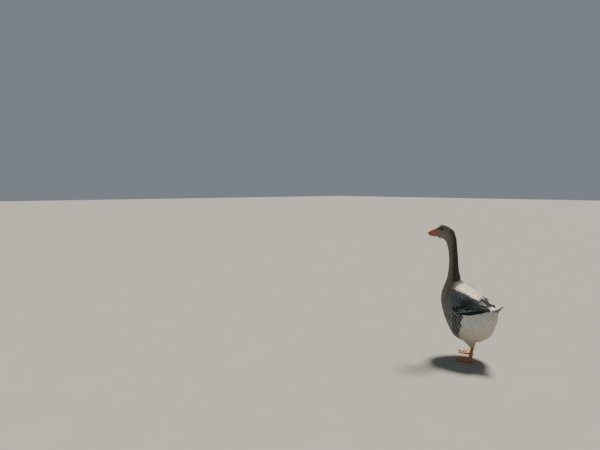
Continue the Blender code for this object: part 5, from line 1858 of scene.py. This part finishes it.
# back, height, fore-and-aft and sideways half size
KNUCKLE = ((0.0, 0.0004, 0.0072, 0.0070), (0.0, 0.004, 0.0098, 0.0088), (0.0, 0.012, 0.0100, 0.0090),
           (0.0002, 0.0185, 0.0084, 0.0078))


def make_foot():
    """The left foot: toes with claws, webs, hind toe and knuckle in one piece."""
    parts = []
    for spread, length in TOES:
        direction = toe_way(spread)
        parts.append((wrapped("toe", 20, 60, toe_place(direction, length)), shank_scales))
        parts.append((wrapped("claw", 12, 12, claw_place(direction, length)), claw_horn))
    for (a, first_length), (b, second_length) in zip(TOES, TOES[1:]):
        parts.append((make_web(toe_way(a), first_length, toe_way(b), second_length), web_skin))
    hind = []
    for share, height, size in HIND_TOE:
        hind.append((heel + HIND_TOE_WAY * HIND_TOE_LENGTH * share + UP * height, size, size * 0.85))
    parts.append((wrapped("hind_toe", 16, 16, tube_place(hind)), shank_scales))
    knuckle = [(heel + Vector((rear, 0, height)), fore, wide) for rear, height, fore, wide in KNUCKLE]
    parts.append((wrapped("knuckle", 24, 16, tube_place(knuckle)), shank_scales))
    return joined("foot_left_skin", parts)


left_foot = make_foot()
right_foot = mirrored_copy(left_foot, "foot_right_skin", STEP_AHEAD[2])
print("foot faces", len(left_foot.data.polygons))

# %% Make both legs
for side_name, side, foot in (("left", 1, left_foot), ("right", -1, right_foot)):
    _, hock, ankle = leg_points(side)
    stations = [(hock.lerp(ankle, t), fore, width) for t, fore, width in SHANK]
    shank = wrapped("shank_" + side_name + "_skin", 28, 70, tube_place(stations))
    shank.data.materials.append(shank_scales)
    for made, label in ((shank, "shank_"), (foot, "foot_")):
        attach(made, "root")
        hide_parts(label + side_name)
    print("shank", side_name, "faces", len(shank.data.polygons))

# %% [markdown]
# ## Floor and light
# A pale plane stands for a studio floor, as bright as the air behind it, so no horizon shows. A broad soft
# lamp stands above and behind on the right, where the light comes from in the picture. It lights the saddle,
# the crown and the edge of the neck, and leaves the near side in even shade. A large weak fill on the camera's
# side keeps that shade clear.

# %% Floor
FLOOR_HALF = 40.0
bm = bmesh.new()
bmesh.ops.create_grid(bm, x_segments=1, y_segments=1, size=FLOOR_HALF)
floor = piece_from("floor", bm)
floor_finish, tree, shader = new_material("studio_floor")
floor_tone = two_tones(tree, noise(tree, 3.0, 8.0), (0.255, 0.243, 0.222), (0.285, 0.272, 0.250))
tree.links.new(floor_tone, shader.inputs["Base Color"])
set_values(shader, {"Roughness": 0.9, "Specular IOR Level": 0.1})
floor.data.materials.append(floor_finish)
print("floor half width m", FLOOR_HALF)

# %% Lights
KEY_FROM, KEY_STRENGTH, FILL_POWER, SKY_STRENGTH = Vector((-0.16, 0.99, 1.90)), 8.0, 6, 0.25


def lamp(name, kind, place, aim, energy, colour):
    """A lamp at a place, turned so that it shines on the aim."""
    data = bpy.data.lights.new(name, kind)
    data.energy, data.color = energy, colour
    made = bpy.data.objects.new(name, data)
    bpy.context.scene.collection.objects.link(made)
    place = Vector(place)
    turn = (place - Vector(aim)).to_track_quat("Z", "Y").to_matrix().to_4x4()
    made.matrix_world = Matrix.Translation(place) @ turn
    return data


world = bpy.data.worlds.new("studio")
world.use_nodes = True
background = world.node_tree.nodes["Background"]
background.inputs[0].default_value = (0.80, 0.90, 1.0, 1)
background.inputs[1].default_value = SKY_STRENGTH
bpy.context.scene.world = world
key = lamp("key", "SUN", KEY_FROM * 3, (0, 0, 0), KEY_STRENGTH, (1.0, 0.95, 0.86))
key.angle = math.radians(12.0)
fill = lamp("fill", "AREA", (-0.6, -3.2, 2.2), (0, 0, 0.35), FILL_POWER, (0.92, 0.96, 1.0))
fill.shape, fill.size = "DISK", 2.6
print("lamps: key", key.energy, "fill", fill.energy)
